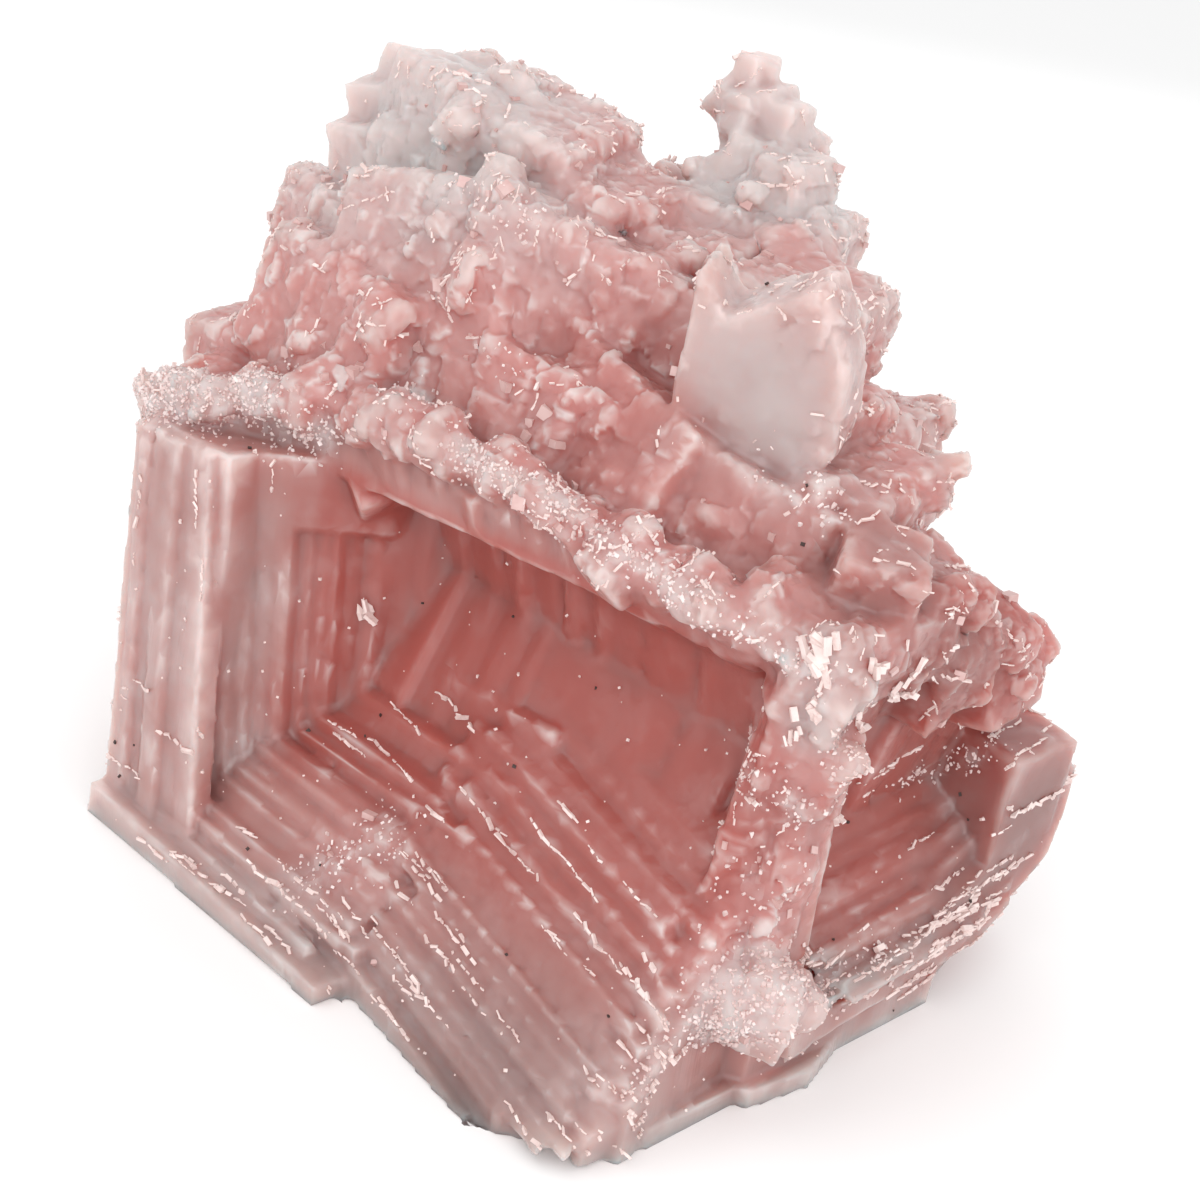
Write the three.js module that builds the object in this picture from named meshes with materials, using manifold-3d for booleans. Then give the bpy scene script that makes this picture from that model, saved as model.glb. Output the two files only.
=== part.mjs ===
// Halite crystal: one grown-together mass of rock salt.
//
// A big skeletal (hopper) cube stands at the front. Its front face (-Y) and its right face (+X) are
// terraced funnels, because the cube grew faster along its edges than in the middle of its faces.
// A ridge of granular salt runs along the top of the front funnel, and a rough mass of smaller
// intergrown cubes, with a pale plate crystal and a spire, rises behind the ridge.
//
// Millimetres, +Z up. Everything is first laid out from the foot of the edge between the two
// funnels (x to the right, y to the back, z up), then moved so that the origin is under the middle
// of the crystal, on the surface that it stands on.

import * as THREE from 'three';
import { mergeVertices } from 'three/addons/utils/BufferGeometryUtils.js';
import Module from 'manifold-3d';

const wasm = await Module();
wasm.setup();

// ---------------------------------------------------------------- driving dimensions (mm)

const CUBE = { left: -58, right: 0, front: -14, back: 36, top: 33 };
const BACK_LEFT = -66;          // the foot widens to here behind the front funnel's left rim

const FOOT_HEIGHT = 1.6;        // thin foot in front of the cube

const RIDGE_TOP = 36;           // top of the plate that roofs the front funnel
const RIDGE_PLATE = 4;          // its thickness

const PIT_FOOT = 2;             // heights between which the front funnel's steps are stated
const PIT_TOP = 34;
const PIT_BACK = 4.6;           // y of its deep end

/** Steps of the front funnel from its mouth inwards. Each one leans: x and y at its foot and top. */
const FRONT_PIT = [
  { left: [-46.5, -50], deep: [-10.6, -9.2], right: -1.8 },
  { left: [-45.4, -47.6], deep: [-9.8, -2.6], right: -2.2 },
  { left: [-43.6, -44.8], deep: [-6.2, -0.4], right: -3 },
  { left: [-41, -41.8], deep: [-2, 2.4], right: -4.6 },
  { left: [-39, -39.4], deep: [PIT_BACK, PIT_BACK], right: -7 },
];

/** Unstepped top of its left wall: two plans, and how low each reaches. */
const CORNER_WALL = [
  { plan: [[-50.2, -14.4], [-46.4, -9.2], [-46.4, 0], [-52, 0], [-52, -12]], foot: 23.6 },
  { plan: [[-47, -10], [-41.4, -2.6], [-41.4, 5], [-50, 5]], foot: 27.2 },
];

const FLUTES = { count: 9, first: -40, pitch: 4, width: 2.2, depth: 1.0 };

const STAIR = {                 // long ridges that climb the bottom wall of the front funnel
  count: 14,
  leftStart: [-27, -14.2, 1.2],
  leftEnd: [-31, 5, 21.4],
  rightStart: [0.8, -18.4, -2.8],
  rightEnd: [-1.6, 0.4, 16.6],
  thick: 3.0,
};
const SIDE_STAIR = {            // shorter terraces left of them
  count: 8,
  leftStart: [-55, -16.6, 0.8],
  leftEnd: [-44, 3.4, 16.5],
  rightStart: [-24, -17.2, -0.6],
  rightEnd: [-29, 3.4, 17.5],
  thick: 3.6,
};

const SLOPE_FOOT = -2;          // the slopes under the stairs start below ground

const RIM_BANDS = { count: 5, pitch: 1.8, thick: 2.1, foot: [-54.6, -16.4, 0], top: [-57.6, -13.4, 32.5] };

const RIGHT_PIT = {             // funnel in the right face
  steps: 5, depth: 2.6, nearY: 4, farY: 33, nearStep: 0.7, farStep: 2.4,
  floorZ: 5, floorStep: 2.5, topZ: 30,
};
const RIGHT_STAIR = {
  count: 9, firstX: 0, lastX: -11.5, firstZ: 4, lastZ: 16.5, rise: 2.4, lean: 0.4, thick: 2.4,
};

/** Salt banked up at the far end of the right funnel: four corners at the foot, four above them. */
const FAR_BANK = [
  [-11, 19.9, 2], [-11, 30, 2], [0, 20, 2], [-0.2, 30, 4],
  [-11, 19.9, 16.6], [-11, 30, 20], [0.1, 20, 7.2], [-0.2, 29, 12],
];

/** Glassy corner block: its outline across X, as [y, z] points, and the x of its two sides. */
const CORNER_BLOCK = {
  outline: [[25, 5], [31.4, 7.9], [33.8, 9.8], [35, 13.4], [35, 17.6], [30, 21.4], [25, 20.6]],
  left: -7,
  right: 0.3,
};

const TERRACES = {              // low growth steps on the left and back faces
  count: 4, riser: 1.1, backX: -50, backRun: 11, leftY: 6, leftRun: 6, foot: 5, rise: 5.5,
};

// ---------------------------------------------------------------- helpers

const radians = THREE.MathUtils.degToRad;

/** Repeatable random numbers from 0 to 1. */
function randomStream(seed) {
  let state = seed;
  return () => {
    state = (state * 1664525 + 1013904223) % 4294967296;
    return state / 4294967296;
  };
}

/** Closed three.js geometry to a solid that can be joined and cut. */
function solid(geometry) {
  const bare = geometry.index ? geometry.toNonIndexed() : geometry.clone();
  bare.deleteAttribute('normal');
  bare.deleteAttribute('uv');
  const merged = mergeVertices(bare, 1e-4);
  return new wasm.Manifold(new wasm.Mesh({
    numProp: 3,
    vertProperties: new Float32Array(merged.attributes.position.array),
    triVerts: new Uint32Array(merged.index.array),
  }));
}

/** Box crystal: its middle, its size, and its turns about X, Y and Z in degrees. */
function crystal(at, size, turn = [0, 0, 0]) {
  const box = new THREE.BoxGeometry(...size);
  const euler = new THREE.Euler(...turn.map(radians), 'ZYX');
  box.applyMatrix4(new THREE.Matrix4().makeRotationFromEuler(euler));
  box.translate(...at);
  return solid(box);
}

/** Box between two corners. */
function between(low, high) {
  const size = high.map((value, axis) => value - low[axis]);
  const middle = high.map((value, axis) => (value + low[axis]) / 2);
  return crystal(middle, size);
}

/** Upright prism on a plan outline of [x, y] points. */
function prism(outline, bottom, top) {
  const shape = new THREE.Shape(outline.map(([x, y]) => new THREE.Vector2(x, y)));
  const geometry = new THREE.ExtrudeGeometry(shape, { depth: top - bottom, bevelEnabled: false });
  geometry.translate(0, 0, bottom);
  return solid(geometry);
}

/** Square bar from one point to another; a sloping bar keeps one pair of faces level. */
function bar(from, to, thick) {
  const start = new THREE.Vector3(...from);
  const along = new THREE.Vector3(...to).sub(start);
  const length = along.length();
  const xAxis = along.clone().normalize();
  const upright = Math.abs(xAxis.z) > 0.9;
  const guide = upright ? new THREE.Vector3(1, 0, 0) : new THREE.Vector3(0, 0, 1);
  const yAxis = guide.cross(xAxis).normalize();
  const zAxis = xAxis.clone().cross(yAxis);
  const box = new THREE.BoxGeometry(length, thick, thick);
  box.applyMatrix4(new THREE.Matrix4().makeBasis(xAxis, yAxis, zAxis));
  const middle = start.addScaledVector(along, 0.5);
  box.translate(middle.x, middle.y, middle.z);
  return solid(box);
}

/**
 * Six-sided block from its eight corners: four at the foot and four above them, each four in the
 * order left front, left back, right front, right back.
 */
function block(corners) {
  const quads = [
    [0, 1, 3, 2], [4, 6, 7, 5], [0, 2, 6, 4], [1, 5, 7, 3], [0, 4, 5, 1], [2, 3, 7, 6],
  ];
  const geometry = new THREE.BufferGeometry();
  geometry.setFromPoints(corners.map((corner) => new THREE.Vector3(...corner)));
  geometry.setIndex(quads.flatMap(([a, b, c, d]) => [a, b, c, a, c, d]));
  return solid(geometry);
}

const join = (parts) => parts.reduce((sum, part) => sum.add(part));

const mix = (a, b, t) => a.map((value, axis) => THREE.MathUtils.lerp(value, b[axis], t));

// ---------------------------------------------------------------- the big skeletal cube

/** Foot and walls of the cube before its funnels are sunk. */
function cubeBody() {
  const plan = [
    [CUBE.left, CUBE.front], [CUBE.left + 14, CUBE.front + 0.8], [-20, CUBE.front + 0.2],
    [CUBE.right - 2, CUBE.front + 1.4], [CUBE.right, CUBE.front + 4], [CUBE.right, CUBE.back - 6],
    [-5, CUBE.back - 1], [-22, CUBE.back], [-44, CUBE.back - 3], [BACK_LEFT + 4, CUBE.back - 6],
    [BACK_LEFT, 16], [BACK_LEFT + 1, 2], [CUBE.left, -2],
  ];
  return prism(plan, 0, CUBE.top);
}

/** Roof of the front funnel: its front edge slants back from the left rim to the right edge. */
function ridgePlate() {
  const plan = [
    [-59, -13.5], [-55, -12], [-50, -8.5], [-44, -6.5], [-36, -5.6], [-26, -4.6],
    [-16, -3.4], [-8, -2], [0.6, -0.6], [0.6, 12], [-3, 16], [-12, 28], [-62, 28], [-65, 2], [-61, -8],
  ];
  return prism(plan, RIDGE_TOP - RIDGE_PLATE, RIDGE_TOP);
}

/** Space of the front funnel: nested blocks, each deeper and narrower than the last. */
function frontPit() {
  const steps = FRONT_PIT.map(({ left, deep, right }) => block([
    [left[0], -40, PIT_FOOT], [left[0], deep[0], PIT_FOOT], [right, -40, PIT_FOOT],
    [right, deep[0], PIT_FOOT], [left[1], -40, PIT_TOP], [left[1], deep[1], PIT_TOP],
    [right, -40, PIT_TOP], [right, deep[1], PIT_TOP],
  ]));
  return join(steps);
}

/** Unstepped top of the front funnel's left wall, which slants from the rim to the deep end. */
function cornerWall() {
  return join(CORNER_WALL.map(({ plan, foot }) => prism(plan, foot, CUBE.top)));
}

/** The cube's near right edge stands back from its foot: this is what it leaves out in front. */
function edgeSetback() {
  const plan = [[-12, -60], [30, -60], [30, -0.4], [0, -0.4], [-4, -3.4], [-9, -8]];
  return prism(plan, FOOT_HEIGHT, 60);
}

/** Long ridges on the bottom wall, fanned from parallel to the back wall to slanting outwards. */
function stair({ count, leftStart, leftEnd, rightStart, rightEnd, thick }, seed) {
  const random = randomStream(seed);
  const bars = [];
  for (let index = 0; index < count; index += 1) {
    const t = index / (count - 1);
    const left = mix(leftStart, leftEnd, t);
    const right = mix(rightStart, rightEnd, t);
    const short = mix(right, left, random() * 0.1);
    const start = mix(left, right, -0.04 + random() * 0.05);
    bars.push(bar(start, short, thick * (0.85 + 0.3 * random())));
  }
  return join(bars);
}

/** Solid slope under a stair, so that its ridges stand on salt and not on air. */
function slopeUnder({ leftStart, leftEnd, rightStart, rightEnd }, drop) {
  const feet = [];
  const tops = [];
  for (const [x, y, z] of [leftStart, leftEnd, rightStart, rightEnd]) {
    feet.push([x, y, SLOPE_FOOT]);
    tops.push([x, y, Math.max(z - drop, 0)]);
  }
  return block([...feet, ...tops]);
}

/** Upright flutes on the back wall of the front funnel. */
function flutes() {
  const random = randomStream(11);
  const parts = [];
  for (let index = 0; index < FLUTES.count; index += 1) {
    const x = FLUTES.first + index * FLUTES.pitch + random() * 1.4;
    const width = FLUTES.width * (0.6 + 0.8 * random());
    const front = PIT_BACK - FLUTES.depth * (0.4 + 1.2 * random());
    const foot = 8 + 6 * random();
    parts.push(between([x, front, foot], [x + width, PIT_BACK + 3, CUBE.top + 1]));
  }
  return join(parts);
}

/** Narrow upright bands that stand proud of the left rim, and widen it towards the foot. */
function rimBands() {
  const random = randomStream(5);
  const parts = [];
  for (let index = 0; index < RIM_BANDS.count; index += 1) {
    const aside = index * RIM_BANDS.pitch;
    const forward = (random() - 0.5) * 0.8;
    const foot = [RIM_BANDS.foot[0] + aside * 1.35, RIM_BANDS.foot[1] + forward, RIM_BANDS.foot[2]];
    const top = [RIM_BANDS.top[0] + aside, RIM_BANDS.top[1] + forward, RIM_BANDS.top[2]];
    parts.push(bar(foot, top, RIM_BANDS.thick));
  }
  return join(parts);
}

/** Thin irregular foot that spreads in front of the cube. */
function footSlab() {
  const plan = [
    [-56, -16.6], [-47, -17.8], [-36, -18.8], [-29, -18.4], [-23, -16], [-17, -15.2], [-11, -16.4],
    [-7, -17.6], [-4, -15], [0.2, -12.6], [-0.4, -9], [-2.6, -3], [1, -0.6], [1.8, 5], [0.2, 10],
    [-2, 20], [-2.6, 28], [-40, 28], [-58, 0],
  ];
  return prism(plan, 0, FOOT_HEIGHT);
}

/** Space of the right funnel, sunk towards -X. */
function rightPit() {
  const boxes = [];
  for (let step = 0; step < RIGHT_PIT.steps; step += 1) {
    const near = RIGHT_PIT.nearY + step * RIGHT_PIT.nearStep;
    const far = RIGHT_PIT.farY - step * RIGHT_PIT.farStep;
    const floor = RIGHT_PIT.floorZ + step * RIGHT_PIT.floorStep;
    const deep = -(step + 1) * RIGHT_PIT.depth;
    boxes.push(between([deep, near, floor], [40, far, RIGHT_PIT.topZ - step]));
  }
  return join(boxes);
}

/** Ridges on the bottom wall of the right funnel. */
function rightStair() {
  const random = randomStream(23);
  const bars = [];
  for (let index = 0; index < RIGHT_STAIR.count; index += 1) {
    const t = index / (RIGHT_STAIR.count - 1);
    const x = THREE.MathUtils.lerp(RIGHT_STAIR.firstX, RIGHT_STAIR.lastX, t);
    const z = THREE.MathUtils.lerp(RIGHT_STAIR.firstZ, RIGHT_STAIR.lastZ, t);
    const near = 2 + 2 * random();
    const far = THREE.MathUtils.lerp(30, 22, t) - 2 * random();
    const end = [x - RIGHT_STAIR.lean, far, z + RIGHT_STAIR.rise];
    bars.push(bar([x, near, z], end, RIGHT_STAIR.thick));
  }
  return join(bars);
}

/** Solid on an outline of [y, z] points, running along x from one value to another. */
function sidePrism(outline, fromX, toX) {
  const shape = new THREE.Shape(outline.map(([y, z]) => new THREE.Vector2(y, z)));
  const geometry = new THREE.ExtrudeGeometry(shape, { depth: toX - fromX, bevelEnabled: false });
  const basis = new THREE.Matrix4().makeBasis(
    new THREE.Vector3(0, 1, 0), new THREE.Vector3(0, 0, 1), new THREE.Vector3(1, 0, 0),
  );
  geometry.applyMatrix4(basis);
  geometry.translate(fromX, 0, 0);
  return solid(geometry);
}

/** The right face is broken away in a slant at its foot, and falls towards its far corner. */
function rightFaceCuts() {
  const foot = [[20.4, -20], [60, -20], [60, 18], [34.6, 14.6], [31, 8], [22, 2.4]];
  const shoulder = [[13, 38], [26, 26], [34, 18], [60, 18], [60, 60], [13, 60]];
  return sidePrism(foot, -6, 10).add(sidePrism(shoulder, -16, 10));
}

/** The foot of the main stair is broken off in a slant at its right end. */
function stairEndCut() {
  return prism([[-9.6, -19.2], [2.6, -10.6], [12, -10.6], [12, -30], [-9.6, -30]], -4, 40);
}

/** Low growth steps that climb across the left and back faces and run out at their edges. */
function growthTerraces() {
  const cuts = [];
  for (let step = 0; step < TERRACES.count; step += 1) {
    const deep = (step + 1) * TERRACES.riser;
    const low = TERRACES.foot + step * TERRACES.rise;
    const backFrom = TERRACES.backX + step * TERRACES.backRun;
    const leftTo = CUBE.back - TERRACES.leftY - step * TERRACES.leftRun;
    cuts.push(between([backFrom, CUBE.back - deep, low], [40, 80, CUBE.top]));
    cuts.push(between([-100, -1, low], [BACK_LEFT + deep, leftTo, CUBE.top]));
  }
  return join(cuts);
}

// ---------------------------------------------------------------- the intergrown mass

/** Bigger crystals behind and above the ridge: middle, size and turns. */
const MASS = [
  // left shoulder and top left crown
  [[-60.8, 1.8, 34.4], [13, 13, 8.6], [4, -6, 8]],
  [[-59.4, 7, 44], [12, 12, 10], [-6, 8, -12]],
  [[-56, 9.4, 51.4], [12, 10.6, 9.2], [6, -8, 8]],
  [[-51.4, 9.5, 55.6], [11.6, 10, 9.6], [-5, 8, -7]],
  [[-45, 11, 55.5], [11, 11, 8], [8, 12, 16]],
  [[-40, 12, 52.5], [9, 10, 8], [4, 20, 10]],
  // middle slope between the ridge and the crown
  [[-50, 2, 40], [18, 15, 11], [-14, 6, -5]],
  [[-45, 5, 47], [17, 13, 12], [-18, -8, 12]],
  [[-37, 8, 46], [14, 14, 13], [-10, 10, 30]],
  [[-36, 3, 39], [18, 11, 9], [-20, 4, 6]],
  [[-25, 7, 38.5], [18, 14, 10], [-24, 10, -10]],
  [[-28, 13, 44], [18, 14, 11], [-16, 8, 14]],
  [[-15, 7, 37.5], [14, 11, 8], [-14, 12, 18]],
  [[-35, 19, 49], [15, 13, 10], [6, 8, -12]],
  // spire
  [[-31.6, 24, 47.6], [10.6, 11, 15], [6, 8, 16]],
  [[-33.6, 25.4, 54.8], [8.4, 8, 8], [-8, 12, 30]],
  [[-35.8, 25.6, 59.4], [5, 5, 7], [4, -12, 12]],
  [[-37, 25.8, 62.4], [2.8, 2.8, 5.4], [10, 4, 40]],
  // right shoulder, stepping down to the right corner
  [[-22, 17, 46], [10, 12.4, 13], [4, 10, 18]],
  [[-16.6, 13, 43], [8.4, 9.6, 8], [-6, 14, 8]],
  [[-10.8, 12, 39], [8.6, 10.4, 7.6], [8, 6, 18]],
  [[-5.6, 11, 34.5], [8, 12, 7], [-8, 10, -14]],
  [[-4.8, 18, 29.7], [8, 11, 7], [6, 14, 12]],
  [[-5, 24.8, 25.9], [8, 8, 5.6], [4, -10, 6]],
  // back of the mass
  [[-52, 21, 42], [20, 16, 19], [6, 4, -10]],
  [[-38, 27, 41], [18, 14, 14], [-8, 6, 16]],
  [[-22, 26, 36], [13, 11, 10], [10, -8, 8]],
  [[-60, 18, 34], [13, 16, 14], [-6, 4, 12]],
  [[-57, 27, 15], [13, 10, 26], [0, 4, 14]],
  [[-34, 33, 13], [19, 7, 22], [-4, 0, -6]],
  [[-14, 31, 9], [15, 8, 17], [5, 0, 8]],
  [[-65, 9, 16], [7, 12, 20], [0, -5, -8]],
];

/** Pale plate crystal that leans on the right of the mass. */
const PLATE = {
  middle: [-14.5, 5.6, 48.5],
  turn: [14, 8, 26],
  thick: 5,
  outline: [[-6, 7], [-3.5, 4], [2.4, 8.6], [5.4, 3.6], [6.4, -3], [3.4, -7.6], [-0.6, -9], [-5.6, -3.4]],
};

/** Glassy block at the right corner, and other single crystals on the cube. */
const SINGLES = [
  [[-3.2, 29.2, 17], [7.6, 7.4, 8.8], [4, 6, -4]],          // crystal in the glassy corner block
  [[-42.6, -3.4, 31.6], [4.4, 4.4, 4.4], [35, 45, 0]],      // corner-down crystal under the roof
  [[0.2, -1.4, 9], [6, 5.4, 5], [20, 10, 30]],              // salt lump at the foot of the edge
  [[-1.8, 1, 19], [2.8, 3.4, 21], [0, -3, 8]],              // crusted edge between the funnels
  [[-1.6, 1.4, 26], [5, 4.6, 6], [20, 16, 30]],
  [[-1.4, 0.4, 32], [5, 4, 6], [10, 26, 50]],
  [[-3.6, 7, 37], [6, 6, 7], [16, 8, 40]],                  // pale crystals over the right funnel
  [[-5, 4.6, 34], [8, 7, 6], [8, 20, 16]],
  [[-59.6, 8.4, 55.6], [5.4, 6, 6], [8, -10, 20]],          // crown's left edge
  [[-57.4, 8.8, 58.4], [4.6, 6, 4.2], [-10, 14, -16]],
];

/** Rough salt along the front edge of the roof: small crystals on a line of points. */
const CRUST_LINE = [
  [-59, -12.5, 33], [-52, -9, 36], [-46, -6.5, 37], [-38, -5.8, 38], [-30, -4.8, 37.6],
  [-22, -4, 37], [-13, -2.6, 35.6], [-5, -1.2, 35], [0, 0, 32],
];
const CRUST = { count: 34, size: 2.6, spread: 1.1 };

/** Small cubes that roughen the mass: how many, and between which sizes. */
const CUBELETS = { count: 96, small: 2.4, big: 5.2, seed: 41 };

function crustRidge() {
  const random = randomStream(7);
  const line = new THREE.CatmullRomCurve3(CRUST_LINE.map((point) => new THREE.Vector3(...point)));
  const parts = [];
  for (let index = 0; index < CRUST.count; index += 1) {
    const point = line.getPointAt(index / (CRUST.count - 1));
    const at = point.toArray().map((value) => value + (random() - 0.5) * CRUST.spread);
    const size = [1, 1, 1].map(() => CRUST.size * (0.7 + 0.9 * random()));
    parts.push(crystal(at, size, [random() * 60, random() * 60, random() * 90]));
  }
  return join(parts);
}

/** Cubes seated near the faces of the bigger crystals, mostly in line with them. */
function cubelets() {
  const random = randomStream(CUBELETS.seed);
  const parts = [];
  for (let index = 0; index < CUBELETS.count; index += 1) {
    const [middle, size] = MASS[index % MASS.length];
    const side = Math.floor(random() * 3);
    const at = middle.map((value, axis) => {
      const reach = axis === side ? Math.sign(random() - 0.5) : random() * 1.6 - 0.8;
      return value + reach * size[axis] * 0.44;
    });
    const edge = THREE.MathUtils.lerp(CUBELETS.small, CUBELETS.big, random() ** 1.6);
    const loose = random() < 0.3 ? 80 : 22;
    const turn = [0, 0, 0].map(() => (random() - 0.5) * loose);
    parts.push(crystal(at, [edge, edge * (0.8 + 0.4 * random()), edge * (0.8 + 0.4 * random())], turn));
  }
  return join(parts);
}

function plateCrystal() {
  const shape = new THREE.Shape(PLATE.outline.map(([x, y]) => new THREE.Vector2(x, y)));
  const geometry = new THREE.ExtrudeGeometry(shape, { depth: PLATE.thick, bevelEnabled: false });
  geometry.translate(0, 0, -PLATE.thick / 2);
  geometry.rotateX(radians(90));
  const euler = new THREE.Euler(...PLATE.turn.map(radians), 'ZYX');
  geometry.applyMatrix4(new THREE.Matrix4().makeRotationFromEuler(euler));
  geometry.translate(...PLATE.middle);
  return solid(geometry);
}

// ---------------------------------------------------------------- the whole crystal

function haliteSolid() {
  const cube = cubeBody()
    .subtract(edgeSetback())
    .subtract(frontPit())
    .subtract(rightPit())
    .subtract(growthTerraces())
    .add(cornerWall())
    .add(rimBands())
    .add(flutes())
    .add(ridgePlate())
    .add(footSlab());
  const steps = join([
    slopeUnder(STAIR, 1), stair(STAIR, 3),
    slopeUnder(SIDE_STAIR, 1.4), stair(SIDE_STAIR, 9),
    rightStair(), block(FAR_BANK),
  ]).subtract(stairEndCut());
  const mass = join(MASS.map((row) => crystal(...row)));
  const singles = join(SINGLES.map((row) => crystal(...row)));
  const cornerBlock = sidePrism(CORNER_BLOCK.outline, CORNER_BLOCK.left, CORNER_BLOCK.right);
  const whole = cube
    .add(steps)
    .subtract(rightFaceCuts())
    .add(mass)
    .add(cubelets())
    .add(plateCrystal())
    .add(singles)
    .add(cornerBlock)
    .add(crustRidge())
    .subtract(between([-200, -200, -50], [200, 200, 0]));
  // Chips that touch the crystal nowhere are left out.
  return whole.decompose().reduce((best, piece) => (piece.volume() > best.volume() ? piece : best));
}

/** Solid to a three.js geometry that stands at the middle of its own box, on z = 0. */
function geometryOf(manifold) {
  const mesh = manifold.getMesh();
  const geometry = new THREE.BufferGeometry();
  geometry.setAttribute('position', new THREE.BufferAttribute(mesh.vertProperties, 3));
  geometry.setIndex(new THREE.BufferAttribute(mesh.triVerts, 1));
  geometry.computeBoundingBox();
  const { min, max } = geometry.boundingBox;
  geometry.translate(-(min.x + max.x) / 2, -(min.y + max.y) / 2, -min.z);
  geometry.computeVertexNormals();
  return geometry;
}

const halite = new THREE.MeshStandardMaterial({ color: 0xc48a84, roughness: 0.45, metalness: 0 });
const haliteCrystal = new THREE.Mesh(geometryOf(haliteSolid()), halite);
haliteCrystal.name = 'halite_crystal';

const part = new THREE.Group();
part.add(haliteCrystal);

export default part;
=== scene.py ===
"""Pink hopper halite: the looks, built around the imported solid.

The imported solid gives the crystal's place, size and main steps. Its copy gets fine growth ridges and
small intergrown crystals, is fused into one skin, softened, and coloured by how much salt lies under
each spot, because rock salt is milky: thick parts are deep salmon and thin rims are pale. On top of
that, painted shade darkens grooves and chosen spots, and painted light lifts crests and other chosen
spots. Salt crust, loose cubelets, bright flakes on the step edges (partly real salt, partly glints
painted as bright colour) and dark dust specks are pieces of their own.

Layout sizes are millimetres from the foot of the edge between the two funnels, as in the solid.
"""

import logging
import math
from dataclasses import dataclass, field
from enum import Enum
from itertools import product

import bmesh
import bpy
import numpy as np
from mathutils import Matrix, Quaternion, Vector
from mathutils.bvhtree import BVHTree


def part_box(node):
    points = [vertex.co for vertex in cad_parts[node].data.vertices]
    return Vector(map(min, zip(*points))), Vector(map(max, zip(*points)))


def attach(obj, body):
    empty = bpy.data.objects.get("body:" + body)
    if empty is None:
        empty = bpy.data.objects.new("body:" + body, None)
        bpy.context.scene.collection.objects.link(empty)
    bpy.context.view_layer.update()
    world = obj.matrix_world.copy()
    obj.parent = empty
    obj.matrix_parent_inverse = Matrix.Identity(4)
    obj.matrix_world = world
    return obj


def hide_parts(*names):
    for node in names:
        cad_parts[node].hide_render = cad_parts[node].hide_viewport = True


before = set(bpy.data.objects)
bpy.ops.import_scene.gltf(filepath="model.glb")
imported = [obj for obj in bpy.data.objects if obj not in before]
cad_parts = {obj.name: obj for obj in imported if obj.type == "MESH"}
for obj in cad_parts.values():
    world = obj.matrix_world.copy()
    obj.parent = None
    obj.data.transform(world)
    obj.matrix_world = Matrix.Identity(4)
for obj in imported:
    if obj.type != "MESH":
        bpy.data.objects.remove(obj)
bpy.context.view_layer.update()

NODE = "halite_crystal"
HALITE_IOR = 1.544

log = logging.getLogger("halite")

Point = tuple[float, float, float]


class Zone(Enum):
    """What kind of surface a spot on the crystal has."""

    STEPS = "smooth growth steps"
    ROUGH = "rough intergrown cubes"
    CRUST = "white sugary salt"


# ---------------------------------------------------------------------------------------- layout


@dataclass(frozen=True)
class Layout:
    """Turns layout millimetres into row-frame metres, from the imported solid's own box.

    Args:
        low: lowest corner of the solid's box, in metres.
        high: highest corner of the solid's box, in metres.
        nominal_width: the solid's width in layout millimetres.
        foot_x: where the foot of the dividing edge lies, as a share of the width.
        foot_y: the same, as a share of the depth.
    """

    low: Vector
    high: Vector
    nominal_width: float = 74.82
    foot_x: float = 0.9376
    foot_y: float = 0.3301

    @property
    def unit(self) -> float:
        """Metres in one layout millimetre."""
        return (self.high.x - self.low.x) / self.nominal_width

    @property
    def origin(self) -> np.ndarray:
        """The layout's origin in the row frame, in metres."""
        size = self.high - self.low
        return np.array([self.low.x + self.foot_x * size.x, self.low.y + self.foot_y * size.y, 0.0])

    def metres(self, points: np.ndarray) -> np.ndarray:
        """Layout millimetres to row-frame metres."""
        return np.asarray(points, float) * self.unit + self.origin

    def millimetres(self, points: np.ndarray) -> np.ndarray:
        """Row-frame metres to layout millimetres."""
        return (np.asarray(points, float) - self.origin) / self.unit


def smooth(values: np.ndarray, start: float, end: float) -> np.ndarray:
    """Smooth ramp from 0 at start to 1 at end."""
    t = np.clip((values - start) / (end - start), 0, 1)
    return t * t * (3 - 2 * t)


def distance_to_line(points: np.ndarray, line: np.ndarray) -> np.ndarray:
    """Shortest distance from each point to a line of points.

    Args:
        points: one row per point.
        line: one row per corner of the line.

    Returns:
        One distance per point.
    """
    best = np.full(len(points), 1e9)
    for a, b in zip(line[:-1], line[1:]):
        along = b - a
        t = np.clip((points - a) @ along / max(along @ along, 1e-9), 0, 1)
        best = np.minimum(best, np.linalg.norm(points - a - t[:, None] * along, axis=1))
    return best


# ---------------------------------------------------------------------------------------- noise


TABLE_SIZE = 4096


def table_index(cells: np.ndarray) -> np.ndarray:
    """Row of the random table for each lattice cell, the same on each run."""
    mixed = cells[:, 0] * 73856093 ^ cells[:, 1] * 19349663 ^ cells[:, 2] * 83492791
    return mixed & (TABLE_SIZE - 1)


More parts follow.
